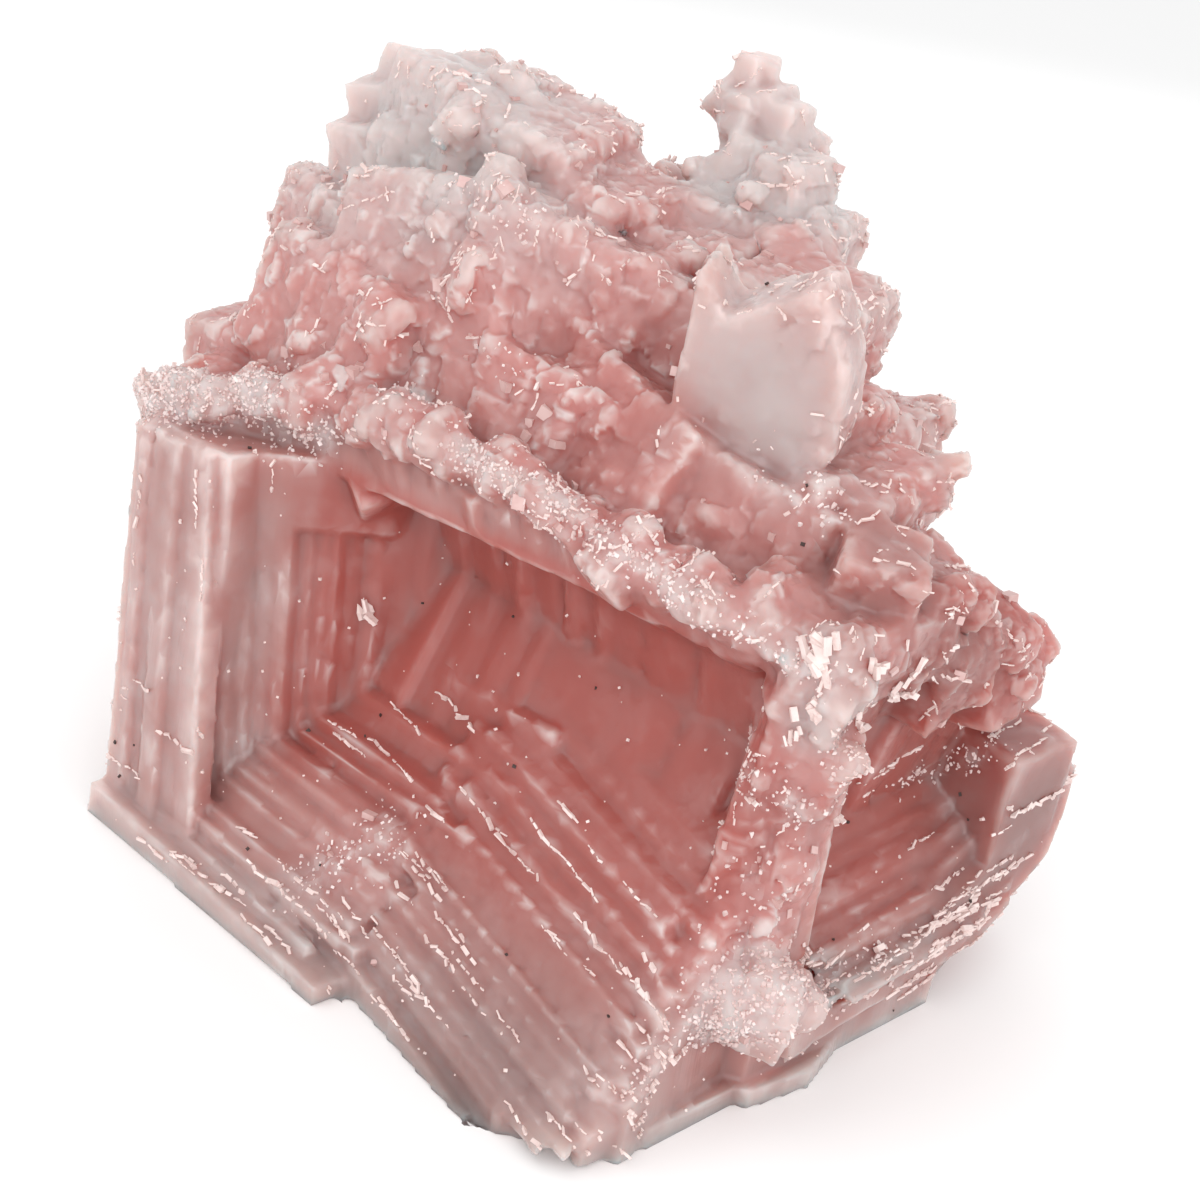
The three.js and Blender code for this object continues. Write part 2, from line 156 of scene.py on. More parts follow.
class LatticeNoise:
    """Smooth repeatable noise on points, from random values on a lattice."""

    def __init__(self, seed: int) -> None:
        """Fills the table of random values."""
        self.table = np.random.default_rng(seed).uniform(-1, 1, TABLE_SIZE)

    def at(self, points: np.ndarray, scale: float) -> np.ndarray:
        """Noise from -1 to 1.

        Args:
            points: one row per point.
            scale: size of the lattice's cells, in the points' unit.

        Returns:
            One value per point.
        """
        cell = points / scale
        base = np.floor(cell).astype(np.int64)
        part = cell - base
        part = part * part * (3 - 2 * part)
        total = np.zeros(len(points))
        for corner in range(8):
            step = np.array([corner & 1, corner >> 1 & 1, corner >> 2 & 1])
            weight = np.prod(np.where(step, part, 1 - part), axis=1)
            total += weight * self.table[table_index(base + step)]
        return total

    def layers(self, points: np.ndarray, scale: float, count: int) -> np.ndarray:
        """Sum of noises, each half as big and half as strong as the last."""
        total = np.zeros(len(points))
        for level in range(count):
            total += self.at(points + 17.3 * level, scale / 2**level) / 2**level
        return total


def facet_noise(points: np.ndarray, size: float, seed: int) -> np.ndarray:
    """Relief of many small flat facets, each tilted its own way.

    Args:
        points: one row per point.
        size: mean size of a facet, in the points' unit.
        seed: which set of facets.

    Returns:
        One value per point, about -1 to 1.
    """
    table = np.random.default_rng(seed).uniform(0, 1, (TABLE_SIZE, 7))
    cell = points / size
    base = np.floor(cell).astype(np.int64)
    best = np.full(len(points), 1e9)
    value = np.zeros(len(points))
    for step in product((-1, 0, 1), repeat=3):
        key = base + step
        index = table_index(key)
        away = cell - key - table[index, :3]
        reach = np.abs(away).max(axis=1)
        nearer = reach < best
        best = np.where(nearer, reach, best)
        tilt = (away * (table[index, 4:] * 4 - 2)).sum(axis=1)
        value = np.where(nearer, tilt + table[index, 3] - 0.5, value)
    return np.clip(value, -1, 1)


# ---------------------------------------------------------------------------------------- meshes


@dataclass
class Boxes:
    """Many small boxes gathered into one mesh.

    Args:
        corners: eight corners of each box, in layout millimetres.
    """

    corners: list[np.ndarray] = field(default_factory=list)

    UNIT = np.array([[x, y, z] for x in (-0.5, 0.5) for y in (-0.5, 0.5) for z in (-0.5, 0.5)])
    QUADS = np.array([
        [0, 1, 3, 2], [4, 6, 7, 5], [0, 4, 5, 1], [2, 3, 7, 6], [0, 2, 6, 4], [1, 5, 7, 3],
    ])

    def bar(self, start: Point, end: Point, wide: float, high: float) -> None:
        """Adds a bar from one point to another.

        Args:
            start: middle of one end.
            end: middle of the other.
            wide: its level width.
            high: its other width.
        """
        a, b = np.array(start, float), np.array(end, float)
        along = b - a
        length = np.linalg.norm(along)
        x_axis = along / length
        guide = np.array([1.0, 0, 0]) if abs(x_axis[2]) > 0.9 else np.array([0, 0, 1.0])
        y_axis = np.cross(guide, x_axis)
        y_axis /= np.linalg.norm(y_axis)
        z_axis = np.cross(x_axis, y_axis)
        basis = np.array([x_axis * length, y_axis * wide, z_axis * high])
        self.corners.append(self.UNIT @ basis + (a + b) / 2)

    def mesh(self, name: str, layout: Layout) -> bpy.types.Mesh:
        """The boxes as one mesh, in metres."""
        points = layout.metres(np.concatenate(self.corners))
        faces = np.concatenate([self.QUADS + 8 * index for index in range(len(self.corners))])
        mesh = bpy.data.meshes.new(name)
        mesh.from_pydata(points.tolist(), [], faces.tolist())
        return mesh


@dataclass(frozen=True)
class Lump:
    """A rounded swelling of sugary salt.

    Args:
        middle: its middle, in layout millimetres.
        radii: its half sizes.
    """

    middle: Point
    radii: Point

    @staticmethod
    def mesh(lumps: "list[Lump]", layout: Layout) -> bpy.types.Mesh:
        """Many lumps as one mesh, in metres."""
        shape = bmesh.new()
        for lump in lumps:
            place = Matrix.Translation(layout.metres(np.array(lump.middle)))
            size = Matrix.Diagonal((*(np.array(lump.radii) * layout.unit), 1))
            bmesh.ops.create_icosphere(shape, subdivisions=2, radius=1, matrix=place @ size)
        mesh = bpy.data.meshes.new("lumps")
        shape.to_mesh(mesh)
        shape.free()
        return mesh


def new_object(name: str, mesh: bpy.types.Mesh) -> bpy.types.Object:
    """Mesh object in the scene, at the origin."""
    piece = bpy.data.objects.new(name, mesh)
    bpy.context.scene.collection.objects.link(piece)
    return piece


def salt_piece(name: str, mesh: bpy.types.Mesh) -> bpy.types.Object:
    """Adds a mesh to the scene as a piece of the crystal."""
    piece = new_object(name, mesh)
    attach(piece, "root")
    return piece


def baked_mesh(piece: bpy.types.Object, name: str) -> bpy.types.Mesh:
    """Plain mesh of an object with its modifiers worked out."""
    graph = bpy.context.evaluated_depsgraph_get()
    graph.update()
    mesh = bpy.data.meshes.new_from_object(piece.evaluated_get(graph), depsgraph=graph)
    mesh.name = name
    return mesh


def vertex_array(mesh: bpy.types.Mesh) -> np.ndarray:
    """The mesh's vertices, one row each."""
    flat = np.empty(len(mesh.vertices) * 3, np.float32)
    mesh.vertices.foreach_get("co", flat)
    return flat.reshape(-1, 3).astype(float)


def normal_array(mesh: bpy.types.Mesh) -> np.ndarray:
    """The mesh's vertex normals, one row each."""
    flat = np.empty(len(mesh.vertices) * 3, np.float32)
    mesh.vertex_normals.foreach_get("vector", flat)
    return flat.reshape(-1, 3).astype(float)


def put_attribute(mesh: bpy.types.Mesh, name: str, values: np.ndarray) -> None:
    """Stores one number per vertex."""
    layer = mesh.attributes.new(name, "FLOAT", "POINT")
    layer.data.foreach_set("value", values.astype(np.float32))


class SurfacePoints:
    """Random points on a mesh's surface, the same on each run."""

    def __init__(self, mesh: bpy.types.Mesh, seed: int) -> None:
        """Reads the mesh's triangles.

        Args:
            mesh: the surface, in metres.
            seed: which draw of points.
        """
        mesh.calc_loop_triangles()
        flat = np.empty(len(mesh.loop_triangles) * 3, np.int32)
        mesh.loop_triangles.foreach_get("vertices", flat)
        self.triangles = flat.reshape(-1, 3)
        self.vertices = vertex_array(mesh)
        corners = self.vertices[self.triangles]
        cross = np.cross(corners[:, 1] - corners[:, 0], corners[:, 2] - corners[:, 0])
        self.area = np.linalg.norm(cross, axis=1) / 2
        self.normals = cross / np.maximum(self.area[:, None] * 2, 1e-18)
        self.random = np.random.default_rng(seed)

    def draw(self, count: int, layout: Layout) -> tuple[np.ndarray, np.ndarray]:
        """Draws points evenly over the area.

        Args:
            count: how many.
            layout: gives the points in layout millimetres.

        Returns:
            Points in layout millimetres, and the surface's normals there.
        """
        chosen = self.random.choice(len(self.area), count, p=self.area / self.area.sum())
        u, v = self.random.random((2, count))
        flip = u + v > 1
        u, v = np.where(flip, 1 - u, u), np.where(flip, 1 - v, v)
        a, b, c = (self.vertices[self.triangles[chosen, side]] for side in range(3))
        points = a + u[:, None] * (b - a) + v[:, None] * (c - a)
        return layout.millimetres(points), self.normals[chosen]


# ---------------------------------------------------------------------------------------- nodes


class Nodes:
    """Short way to build a node tree of any kind."""

    def __init__(self, tree: bpy.types.NodeTree) -> None:
        """Starts from an empty tree."""
        self.tree = tree
        tree.nodes.clear()

    def add(self, kind: str, **settings: object) -> bpy.types.Node:
        """Adds a node and sets its properties."""
        node = self.tree.nodes.new(kind)
        for name, value in settings.items():
            setattr(node, name, value)
        return node

    def link(self, source: bpy.types.NodeSocket, target: bpy.types.NodeSocket) -> None:
        """Joins two sockets."""
        self.tree.links.new(source, target)

    def feed(self, node: bpy.types.Node, **inputs: object) -> bpy.types.Node:
        """Sets a node's inputs: a socket is linked, and anything else is a plain value.

        Args:
            node: the node.
            inputs: input names, with spaces written as underscores, or "n0", "n1" for a place.

        Returns:
            The same node.
        """
        for name, value in inputs.items():
            place = name[1:]
            key = int(place) if name[0] == "n" and place.isdigit() else name.replace("_", " ")
            socket = node.inputs[key]
            if isinstance(value, bpy.types.NodeSocket):
                self.link(value, socket)
            else:
                socket.default_value = value
        return node

    def math(self, operation: str, a: object, b: object = 0.0) -> bpy.types.NodeSocket:
        """Result of one math operation."""
        node = self.add("ShaderNodeMath", operation=operation)
        return self.feed(node, n0=a, n1=b).outputs[0]

    def group(self, tree: bpy.types.NodeTree, **inputs: object) -> bpy.types.Node:
        """Adds a shared shader group and sets its inputs."""
        return self.feed(self.add("ShaderNodeGroup", node_tree=tree), **inputs)

    def around_zero(self, value: bpy.types.NodeSocket, reach: float) -> bpy.types.NodeSocket:
        """A noise of 0 to 1 turned into one of that reach about zero."""
        return self.math("MULTIPLY", self.math("SUBTRACT", value, 0.5), reach)

    def finish(self, shader: bpy.types.Node) -> None:
        """Joins the shader to the material's output."""
        output = self.add("ShaderNodeOutputMaterial")
        self.link(shader.outputs[0], output.inputs["Surface"])

    def ramp(self, value: bpy.types.NodeSocket, start: float, end: float,
             low: float = 0.0, high: float = 1.0) -> bpy.types.NodeSocket:
        """Smooth step of a value between two others."""
        node = self.add("ShaderNodeMapRange", interpolation_type="SMOOTHSTEP")
        self.feed(node, Value=value, From_Min=start, From_Max=end, To_Min=low, To_Max=high)
        return node.outputs["Result"]

    def blend(self, share: object, a: object, b: object) -> bpy.types.NodeSocket:
        """Colour between two colours."""
        node = self.add("ShaderNodeMix", data_type="RGBA", clamp_factor=True)
        self.feed(node, n0=share, n6=a, n7=b)
        return node.outputs[2]


def shader_group(name: str, inputs: dict[str, tuple[str, object]],
                 outputs: dict[str, str]) -> tuple[Nodes, bpy.types.Node, bpy.types.Node]:
    """Empty shader group with its sockets.

    Args:
        name: the group's name.
        inputs: socket type and starting value by input name.
        outputs: socket type by output name.

    Returns:
        The node maker, the group's input node and its output node.
    """
    tree = bpy.data.node_groups.new(name, "ShaderNodeTree")
    maker = Nodes(tree)
    for label, (kind, value) in inputs.items():
        socket = tree.interface.new_socket(label, in_out="INPUT", socket_type=kind)
        if value is not None:
            socket.default_value = value
    for label, kind in outputs.items():
        tree.interface.new_socket(label, in_out="OUTPUT", socket_type=kind)
    return maker, maker.add("NodeGroupInput"), maker.add("NodeGroupOutput")


FLOAT, VECTOR = "NodeSocketFloat", "NodeSocketVector"


def salt_grain_group() -> bpy.types.NodeTree:
    """Height of fine salt relief: tiny cubic cells over soft pitting."""
    maker, given, result = shader_group(
        "salt_grain",
        {
            "Vector": (VECTOR, None), "Cell": (FLOAT, 900.0), "Pits": (FLOAT, 350.0),
            "Rough": (FLOAT, 0.5),
        },
        {"Height": FLOAT, "Speckle": FLOAT},
    )
    cells = maker.add("ShaderNodeTexVoronoi", distance="CHEBYCHEV")
    maker.feed(cells, Vector=given.outputs["Vector"], Scale=given.outputs["Cell"])
    pits = maker.add("ShaderNodeTexNoise")
    maker.feed(pits, Vector=given.outputs["Vector"], Scale=given.outputs["Pits"], Detail=4.0,
               Roughness=0.6)
    tiny = maker.add("ShaderNodeSeparateColor")
    maker.link(cells.outputs["Color"], tiny.inputs[0])
    relief = maker.math("MULTIPLY", tiny.outputs[0], given.outputs["Rough"])
    soft = maker.math("MULTIPLY", pits.outputs["Fac"], 0.8)
    maker.link(maker.math("ADD", relief, soft), result.inputs["Height"])
    maker.link(maker.math("MULTIPLY", tiny.outputs[1], pits.outputs["Fac"]), result.inputs["Speckle"])
    return maker.tree


def facet_group() -> bpy.types.NodeTree:
    """Normal of tiny flat facets that each catch the light their own way."""
    maker, given, result = shader_group(
        "small_facets",
        {
            "Vector": (VECTOR, None), "Normal": (VECTOR, None), "Cell": (FLOAT, 1100.0),
            "Tilt": (FLOAT, 0.5),
        },
        {"Normal": VECTOR},
    )
    cells = maker.add("ShaderNodeTexVoronoi", distance="CHEBYCHEV")
    maker.feed(cells, Vector=given.outputs["Vector"], Scale=given.outputs["Cell"])
    centred, lean, total, flat = (
        maker.add("ShaderNodeVectorMath", operation=operation)
        for operation in ("SUBTRACT", "SCALE", "ADD", "NORMALIZE")
    )
    maker.feed(centred, n0=cells.outputs["Color"], n1=(0.5, 0.5, 0.5))
    maker.feed(lean, n0=centred.outputs[0], Scale=given.outputs["Tilt"])
    maker.feed(total, n0=lean.outputs[0], n1=given.outputs["Normal"])
    maker.feed(flat, n0=total.outputs[0])
    maker.link(flat.outputs[0], result.inputs["Normal"])
    return maker.tree


def growth_line_group() -> bpy.types.NodeTree:
    """Height and tint of fine growth lines that run along one direction."""
    maker, given, result = shader_group(
        "growth_lines",
        {"Vector": (VECTOR, None), "Stretch": (VECTOR, (60.0, 500.0, 500.0))},
        {"Lines": FLOAT},
    )
    place = maker.add("ShaderNodeMapping")
    maker.feed(place, Vector=given.outputs["Vector"], Scale=given.outputs["Stretch"])
    lines = maker.add("ShaderNodeTexNoise")
    maker.feed(lines, Vector=place.outputs[0], Scale=1.0, Detail=3.0, Roughness=0.65)
    maker.link(lines.outputs["Fac"], result.inputs["Lines"])
    return maker.tree


def cloud_group() -> bpy.types.NodeTree:
    """Milky clouds inside the salt: broad soft patches and finer mottling."""
    maker, given, result = shader_group(
        "milky_clouds",
        {"Vector": (VECTOR, None), "Broad": (FLOAT, 70.0), "Fine": (FLOAT, 260.0)},
        {"Cloud": FLOAT, "Mottle": FLOAT},
    )
    for label, scale in (("Cloud", "Broad"), ("Mottle", "Fine")):
        noise = maker.add("ShaderNodeTexNoise")
        maker.feed(noise, Vector=given.outputs["Vector"], Scale=given.outputs[scale], Detail=3.0,
                   Roughness=0.55)
        maker.link(noise.outputs["Fac"], result.inputs[label])
    return maker.tree


# ---------------------------------------------------------------------------------------- finishes

Colour = tuple[float, float, float, float]


@dataclass(frozen=True)
class SaltGroups:
    """The shader groups that several finishes share."""

    grain: bpy.types.NodeTree
    lines: bpy.types.NodeTree
    clouds: bpy.types.NodeTree
    facets: bpy.types.NodeTree

    @classmethod
    def build(cls) -> "SaltGroups":
        """Makes each group once."""
        return cls(salt_grain_group(), growth_line_group(), cloud_group(), facet_group())


# numbers stored on the body's skin, each from 0 to about 1; they carry the salt's own colour, painted
# light on crests and pale spots, and painted shade in grooves and shade spots
MASKS = ("thick", "thin", "bleach_and_painted_light", "crusty", "coarse", "shade", "crest", "groove_painted_shade")


@dataclass(frozen=True)
class MilkySalt:
    """The crystal's own finish: milky pink rock salt.

    Args:
        deep: colour where much salt lies behind the surface.
        middle: colour of plain faces.
        pale: colour of thin rims and edges.
        crown: greyish colour of the bleached top, also laid on shaded places as painted light.
        crust: colour of sugary salt, also laid on crests as painted highlight.
        shadow: painted shade, the colour that grooves and shade spots drift to.
        blush_and_painted_light: pink that the rough mass drifts to, partly its own colour and partly
            painted light against its self-shadowing.
    """

    deep: Colour = (0.36, 0.09, 0.075, 1)
    middle: Colour = (0.40, 0.185, 0.168, 1)
    pale: Colour = (0.44, 0.31, 0.295, 1)
    crown: Colour = (0.51, 0.44, 0.43, 1)
    crust: Colour = (0.60, 0.48, 0.465, 1)
    shadow: Colour = (0.22, 0.11, 0.10, 1)
    blush_and_painted_light: Colour = (0.60, 0.27, 0.255, 1)

    def material(self, groups: SaltGroups) -> bpy.types.Material:
        """Builds the material.

        Args:
            groups: the shared shader groups.

        Returns:
            The finished material.
        """
        material = bpy.data.materials.new("milky_salt")
        material.use_nodes = True
        maker = Nodes(material.node_tree)
        place = maker.add("ShaderNodeTexCoord").outputs["Object"]
        masks = {
            name: maker.add("ShaderNodeAttribute", attribute_name=name).outputs["Fac"] for name in MASKS
        }
        clouds = maker.group(groups.clouds, Vector=place)
        grain = maker.group(groups.grain, Vector=place)
        upright = maker.group(groups.lines, Vector=place, Stretch=(700.0, 700.0, 45.0))
        lines, mottle = upright.outputs["Lines"], clouds.outputs["Mottle"]
        base = self.colour(maker, masks, clouds, lines, grain.outputs["Speckle"])
        facets = self.relief(maker, groups, place, masks["coarse"], lines, grain.outputs["Height"])

        shader = maker.add("ShaderNodeBsdfPrincipled")
        maker.feed(shader, Base_Color=base, Roughness=maker.ramp(mottle, 0.3, 0.7, 0.3, 0.5))
        maker.feed(shader, IOR=HALITE_IOR, Specular_IOR_Level=0.3, Transmission_Weight=0.06)
        maker.feed(shader, Coat_Weight=maker.ramp(mottle, 0.45, 0.6, 0.2, 0.7), Coat_Roughness=0.16,
                   Coat_IOR=HALITE_IOR, Coat_Normal=facets)
        maker.feed(shader, Subsurface_Weight=0.76, Subsurface_Scale=0.01,
                   Subsurface_Radius=(1.0, 0.46, 0.39))
        maker.finish(shader)
        return material

    def colour(self, maker: Nodes, masks: dict[str, bpy.types.NodeSocket], clouds: bpy.types.Node,
               lines: bpy.types.NodeSocket, speckle: bpy.types.NodeSocket) -> bpy.types.NodeSocket:
        """Colour by thickness, then bleaching partly by painted light, painted shade in grooves,
        painted highlight on crests, crust and painted shade spots.

        Args:
            maker: the material's node maker.
            masks: the body's stored masks by name.
            clouds: the cloud group's node.
            lines: growth lines.
            speckle: fine speckle of the salt grain.

        Returns:
            The base colour.
        """
        mottle, coarse = clouds.outputs["Mottle"], masks["coarse"]
        wander = maker.around_zero(clouds.outputs["Cloud"], 0.55)
        streak = maker.around_zero(lines, 0.35)
        depth = maker.math("ADD", maker.math("ADD", masks["thick"], wander), streak)
        base = maker.blend(maker.ramp(depth, 0.1, 0.9), self.middle, self.deep)
        # the rough mass turns lighter pink: partly its own colour, partly painted light against its
        # self-shadowing
        blush_and_painted_light = maker.math("MULTIPLY", coarse, maker.ramp(depth, 0.3, 1.1, 0.45, 0.1))
        base = maker.blend(blush_and_painted_light, base, self.blush_and_painted_light)
        patches = maker.around_zero(mottle, 0.5)
        thinned = maker.ramp(maker.math("ADD", masks["thin"], patches), 0.05, 1.0)
        base = maker.blend(thinned, base, self.pale)
        # pale crown colour: partly the salt's own bleached top, partly painted light on shaded places
        bleached = maker.ramp(maker.math("ADD", masks["bleach_and_painted_light"], patches), 0.1, 1.0)
        base = maker.blend(bleached, base, self.crown)
        # painted shade: grooves drift to the shadow colour, less on the rough mass
        sheltered = maker.math("SUBTRACT", 0.3, maker.math("MULTIPLY", coarse, 0.25))
        base = maker.blend(maker.math("MULTIPLY", masks["groove_painted_shade"], sheltered), base, self.shadow)
        # painted highlight: crests drift to the pale crust colour
        ridge = maker.math("MULTIPLY", masks["crest"], maker.ramp(mottle, 0.35, 0.62, 0.25, 0.85))
        ridge = maker.math("MULTIPLY", ridge, maker.ramp(depth, 0.6, 1.2, 1.0, 0.5))
        base = maker.blend(ridge, base, self.crust)
        sugar = maker.math("ADD", masks["crusty"], maker.math("MULTIPLY", speckle, 0.5))
        sugar = maker.math("SUBTRACT", sugar, 0.12)
        base = maker.blend(maker.ramp(sugar, 0.25, 0.75), base, self.crust)
        # painted shade: the shade spots drift to the shadow colour
        return maker.blend(masks["shade"], base, self.shadow)

    @staticmethod
    def relief(maker: Nodes, groups: SaltGroups, place: bpy.types.NodeSocket,
               coarse: bpy.types.NodeSocket, lines: bpy.types.NodeSocket,
               grain: bpy.types.NodeSocket) -> bpy.types.NodeSocket:
        """Normal of the glassy outer face: growth lines, grain, and broad and fine facets.

        Args:
            maker: the material's node maker.
            groups: the shared shader groups.
            place: object coordinates.
            coarse: how rough each spot is.
            lines: growth lines.
            grain: height of the salt grain.

        Returns:
            The normal.
        """
        line_height = maker.math("MULTIPLY", lines, maker.math("SUBTRACT", 1.0, coarse))
        grain_height = maker.math("MULTIPLY", grain, maker.math("ADD", coarse, 0.25))
        bump = maker.add("ShaderNodeBump")
        height = maker.math("ADD", grain_height, line_height)
        maker.feed(bump, Height=height, Strength=0.5, Distance=0.0004)
        lean = maker.math("MULTIPLY", coarse, 0.4)
        broad = maker.group(groups.facets, Vector=place, Normal=bump.outputs[0], Cell=430.0, Tilt=lean)
        lean = maker.math("ADD", maker.math("MULTIPLY", coarse, 0.6), 0.12)
        return maker.group(groups.facets, Vector=place, Normal=broad.outputs[0], Tilt=lean).outputs[0]


@dataclass(frozen=True)
class LooseSalt:
    """Finish of small crystals that sit on the surface, sharp and a little glassy.

    Args:
        name: the material's name.
        light: colour of the palest crystals.
        dark: colour of the deepest ones.
        roughness: how dull the facets are.
    """

    name: str
    light: Colour
    dark: Colour
    roughness: float = 0.22

    def material(self, groups: SaltGroups) -> bpy.types.Material:
        """Builds the material.

        Args:
            groups: the shared shader groups.

        Returns:
            The finished material.
        """
        material = bpy.data.materials.new(self.name)
        material.use_nodes = True
        maker = Nodes(material.node_tree)
        place = maker.add("ShaderNodeTexCoord").outputs["Object"]
        clouds = maker.group(groups.clouds, Vector=place, Broad=160.0, Fine=900.0)
        grain = maker.group(groups.grain, Vector=place, Cell=2500.0, Pits=1400.0)
        cloud, mottle = clouds.outputs["Cloud"], clouds.outputs["Mottle"]
        mean = maker.math("MULTIPLY", maker.math("ADD", cloud, mottle), 0.5)
        base = maker.blend(maker.ramp(mean, 0.38, 0.62), self.dark, self.light)
        bump = maker.add("ShaderNodeBump")
        maker.feed(bump, Height=grain.outputs["Height"], Strength=0.25, Distance=0.0001)
        shader = maker.add("ShaderNodeBsdfPrincipled")
        roughness = maker.ramp(mottle, 0.3, 0.7, self.roughness, self.roughness + 0.15)
        maker.feed(shader, Base_Color=base, Roughness=roughness, Normal=bump.outputs[0], IOR=HALITE_IOR)
        maker.finish(shader)
        return material


@dataclass(frozen=True)
class DullFinish:
    """Plain dry finish with a little mottling, for dust specks and the studio floor.

    Args:
        name: the material's name.
        colour: its main colour.
        other: the colour it drifts to.
        scale: how fine the drift is.
        roughness: how dull it is.
    """

    name: str
    colour: Colour
    other: Colour
    scale: float
    roughness: float = 0.7

    def material(self) -> bpy.types.Material:
        """Builds the material."""
        material = bpy.data.materials.new(self.name)
        material.use_nodes = True
        maker = Nodes(material.node_tree)
        place = maker.add("ShaderNodeTexCoord").outputs["Object"]
        noise = maker.add("ShaderNodeTexNoise")
        maker.feed(noise, Vector=place, Scale=self.scale, Detail=2.0)
        base = maker.blend(noise.outputs["Fac"], self.colour, self.other)
        shader = maker.add("ShaderNodeBsdfPrincipled")
        maker.feed(shader, Base_Color=base, Roughness=self.roughness)
        maker.finish(shader)
        return material


# ---------------------------------------------------------------------------------------- zones


@dataclass(frozen=True)
class CrustLine:
    """A line along which white sugary salt has grown.

    Args:
        points: corners of the line, in layout millimetres.
        reach: how far from the line the salt spreads.
        strength: how thickly it covers.
    """

    points: tuple[Point, ...]
    reach: float
    strength: float = 1.0


@dataclass(frozen=True)
class TintSpot:
    """A place where the salt is paler or deeper than its thickness alone gives; its paling is partly
    painted light, and its shade is painted shade.

    Args:
        middle: its middle, in layout millimetres.
        reach: its radius.
        bleach_and_painted_light: how far it turns to the pale greyish crown colour.
        thick: how far it turns to the deep colour.
        shade: how far painted shade darkens it.
    """

    middle: Point
    reach: float
    bleach_and_painted_light: float = 0.0
    thick: float = 0.0
    shade: float = 0.0


CRUST_LINES = (
    CrustLine(((-59, -13, 34.6), (-54, -11, 35.6), (-50, -9, 36), (-46.6, -7.4, 36)), 2.7),
    CrustLine(((-39.5, -5, 38.6), (-37, -5, 39)), 2.0),
    CrustLine(((-33, -5.6, 38.4), (-28, -6, 38.4), (-22, -5.6, 38), (-18, -5.2, 37.2)), 1.5, 0.66),
    CrustLine(((-18, -5.2, 37.2), (-12, -4.6, 36.4), (-8, -3.8, 35.6)), 1.4, 0.8),
    CrustLine(((-7, -3.6, 35.4), (0, -1.6, 33.6)), 1.2, 0.5),
    CrustLine(((1.4, 0.6, 28.4), (2.4, 1.4, 27.4)), 1.6, 0.9),
    CrustLine(((-3.6, -1.8, 24.6), (-0.8, -0.8, 24)), 2.2, 0.5),
    CrustLine(((-0.6, -0.2, 22), (0.2, 0.4, 17)), 1.0, 0.3),
    CrustLine(((-2.4, -2, 18), (-0.6, -0.6, 16), (-1, -1.4, 13.6)), 2.0, 0.52),
    CrustLine(((1.2, -1.8, 10.8), (0.4, -3.8, 9.4)), 3.2, 1.3),
    CrustLine(((-0.9, -9.4, 7.2), (-0.4, -11, 5.6)), 1.5, 0.65),
    CrustLine(((-0.4, 6, 6.6), (-0.6, 12, 7), (-0.4, 15, 7)), 2.0, 0.48),
    CrustLine(((-7, 21, 17), (-5.4, 25.6, 17.6), (-2.4, 25.8, 20)), 1.2, 0.6),
    CrustLine(((-32.4, -13.6, 4.2), (-31, -11.6, 6.6), (-29.6, -10, 9)), 2.2, 0.55),
    CrustLine(((-39, -6, 46), (-33, -1, 44)), 1.4, 0.4),
    CrustLine(((-43, -0.4, 54.6), (-36, 1.6, 53.6)), 1.6, 0.42),
    CrustLine(((-11.6, 3.4, 43.4), (-7, 5, 42)), 1.8, 0.45),
)

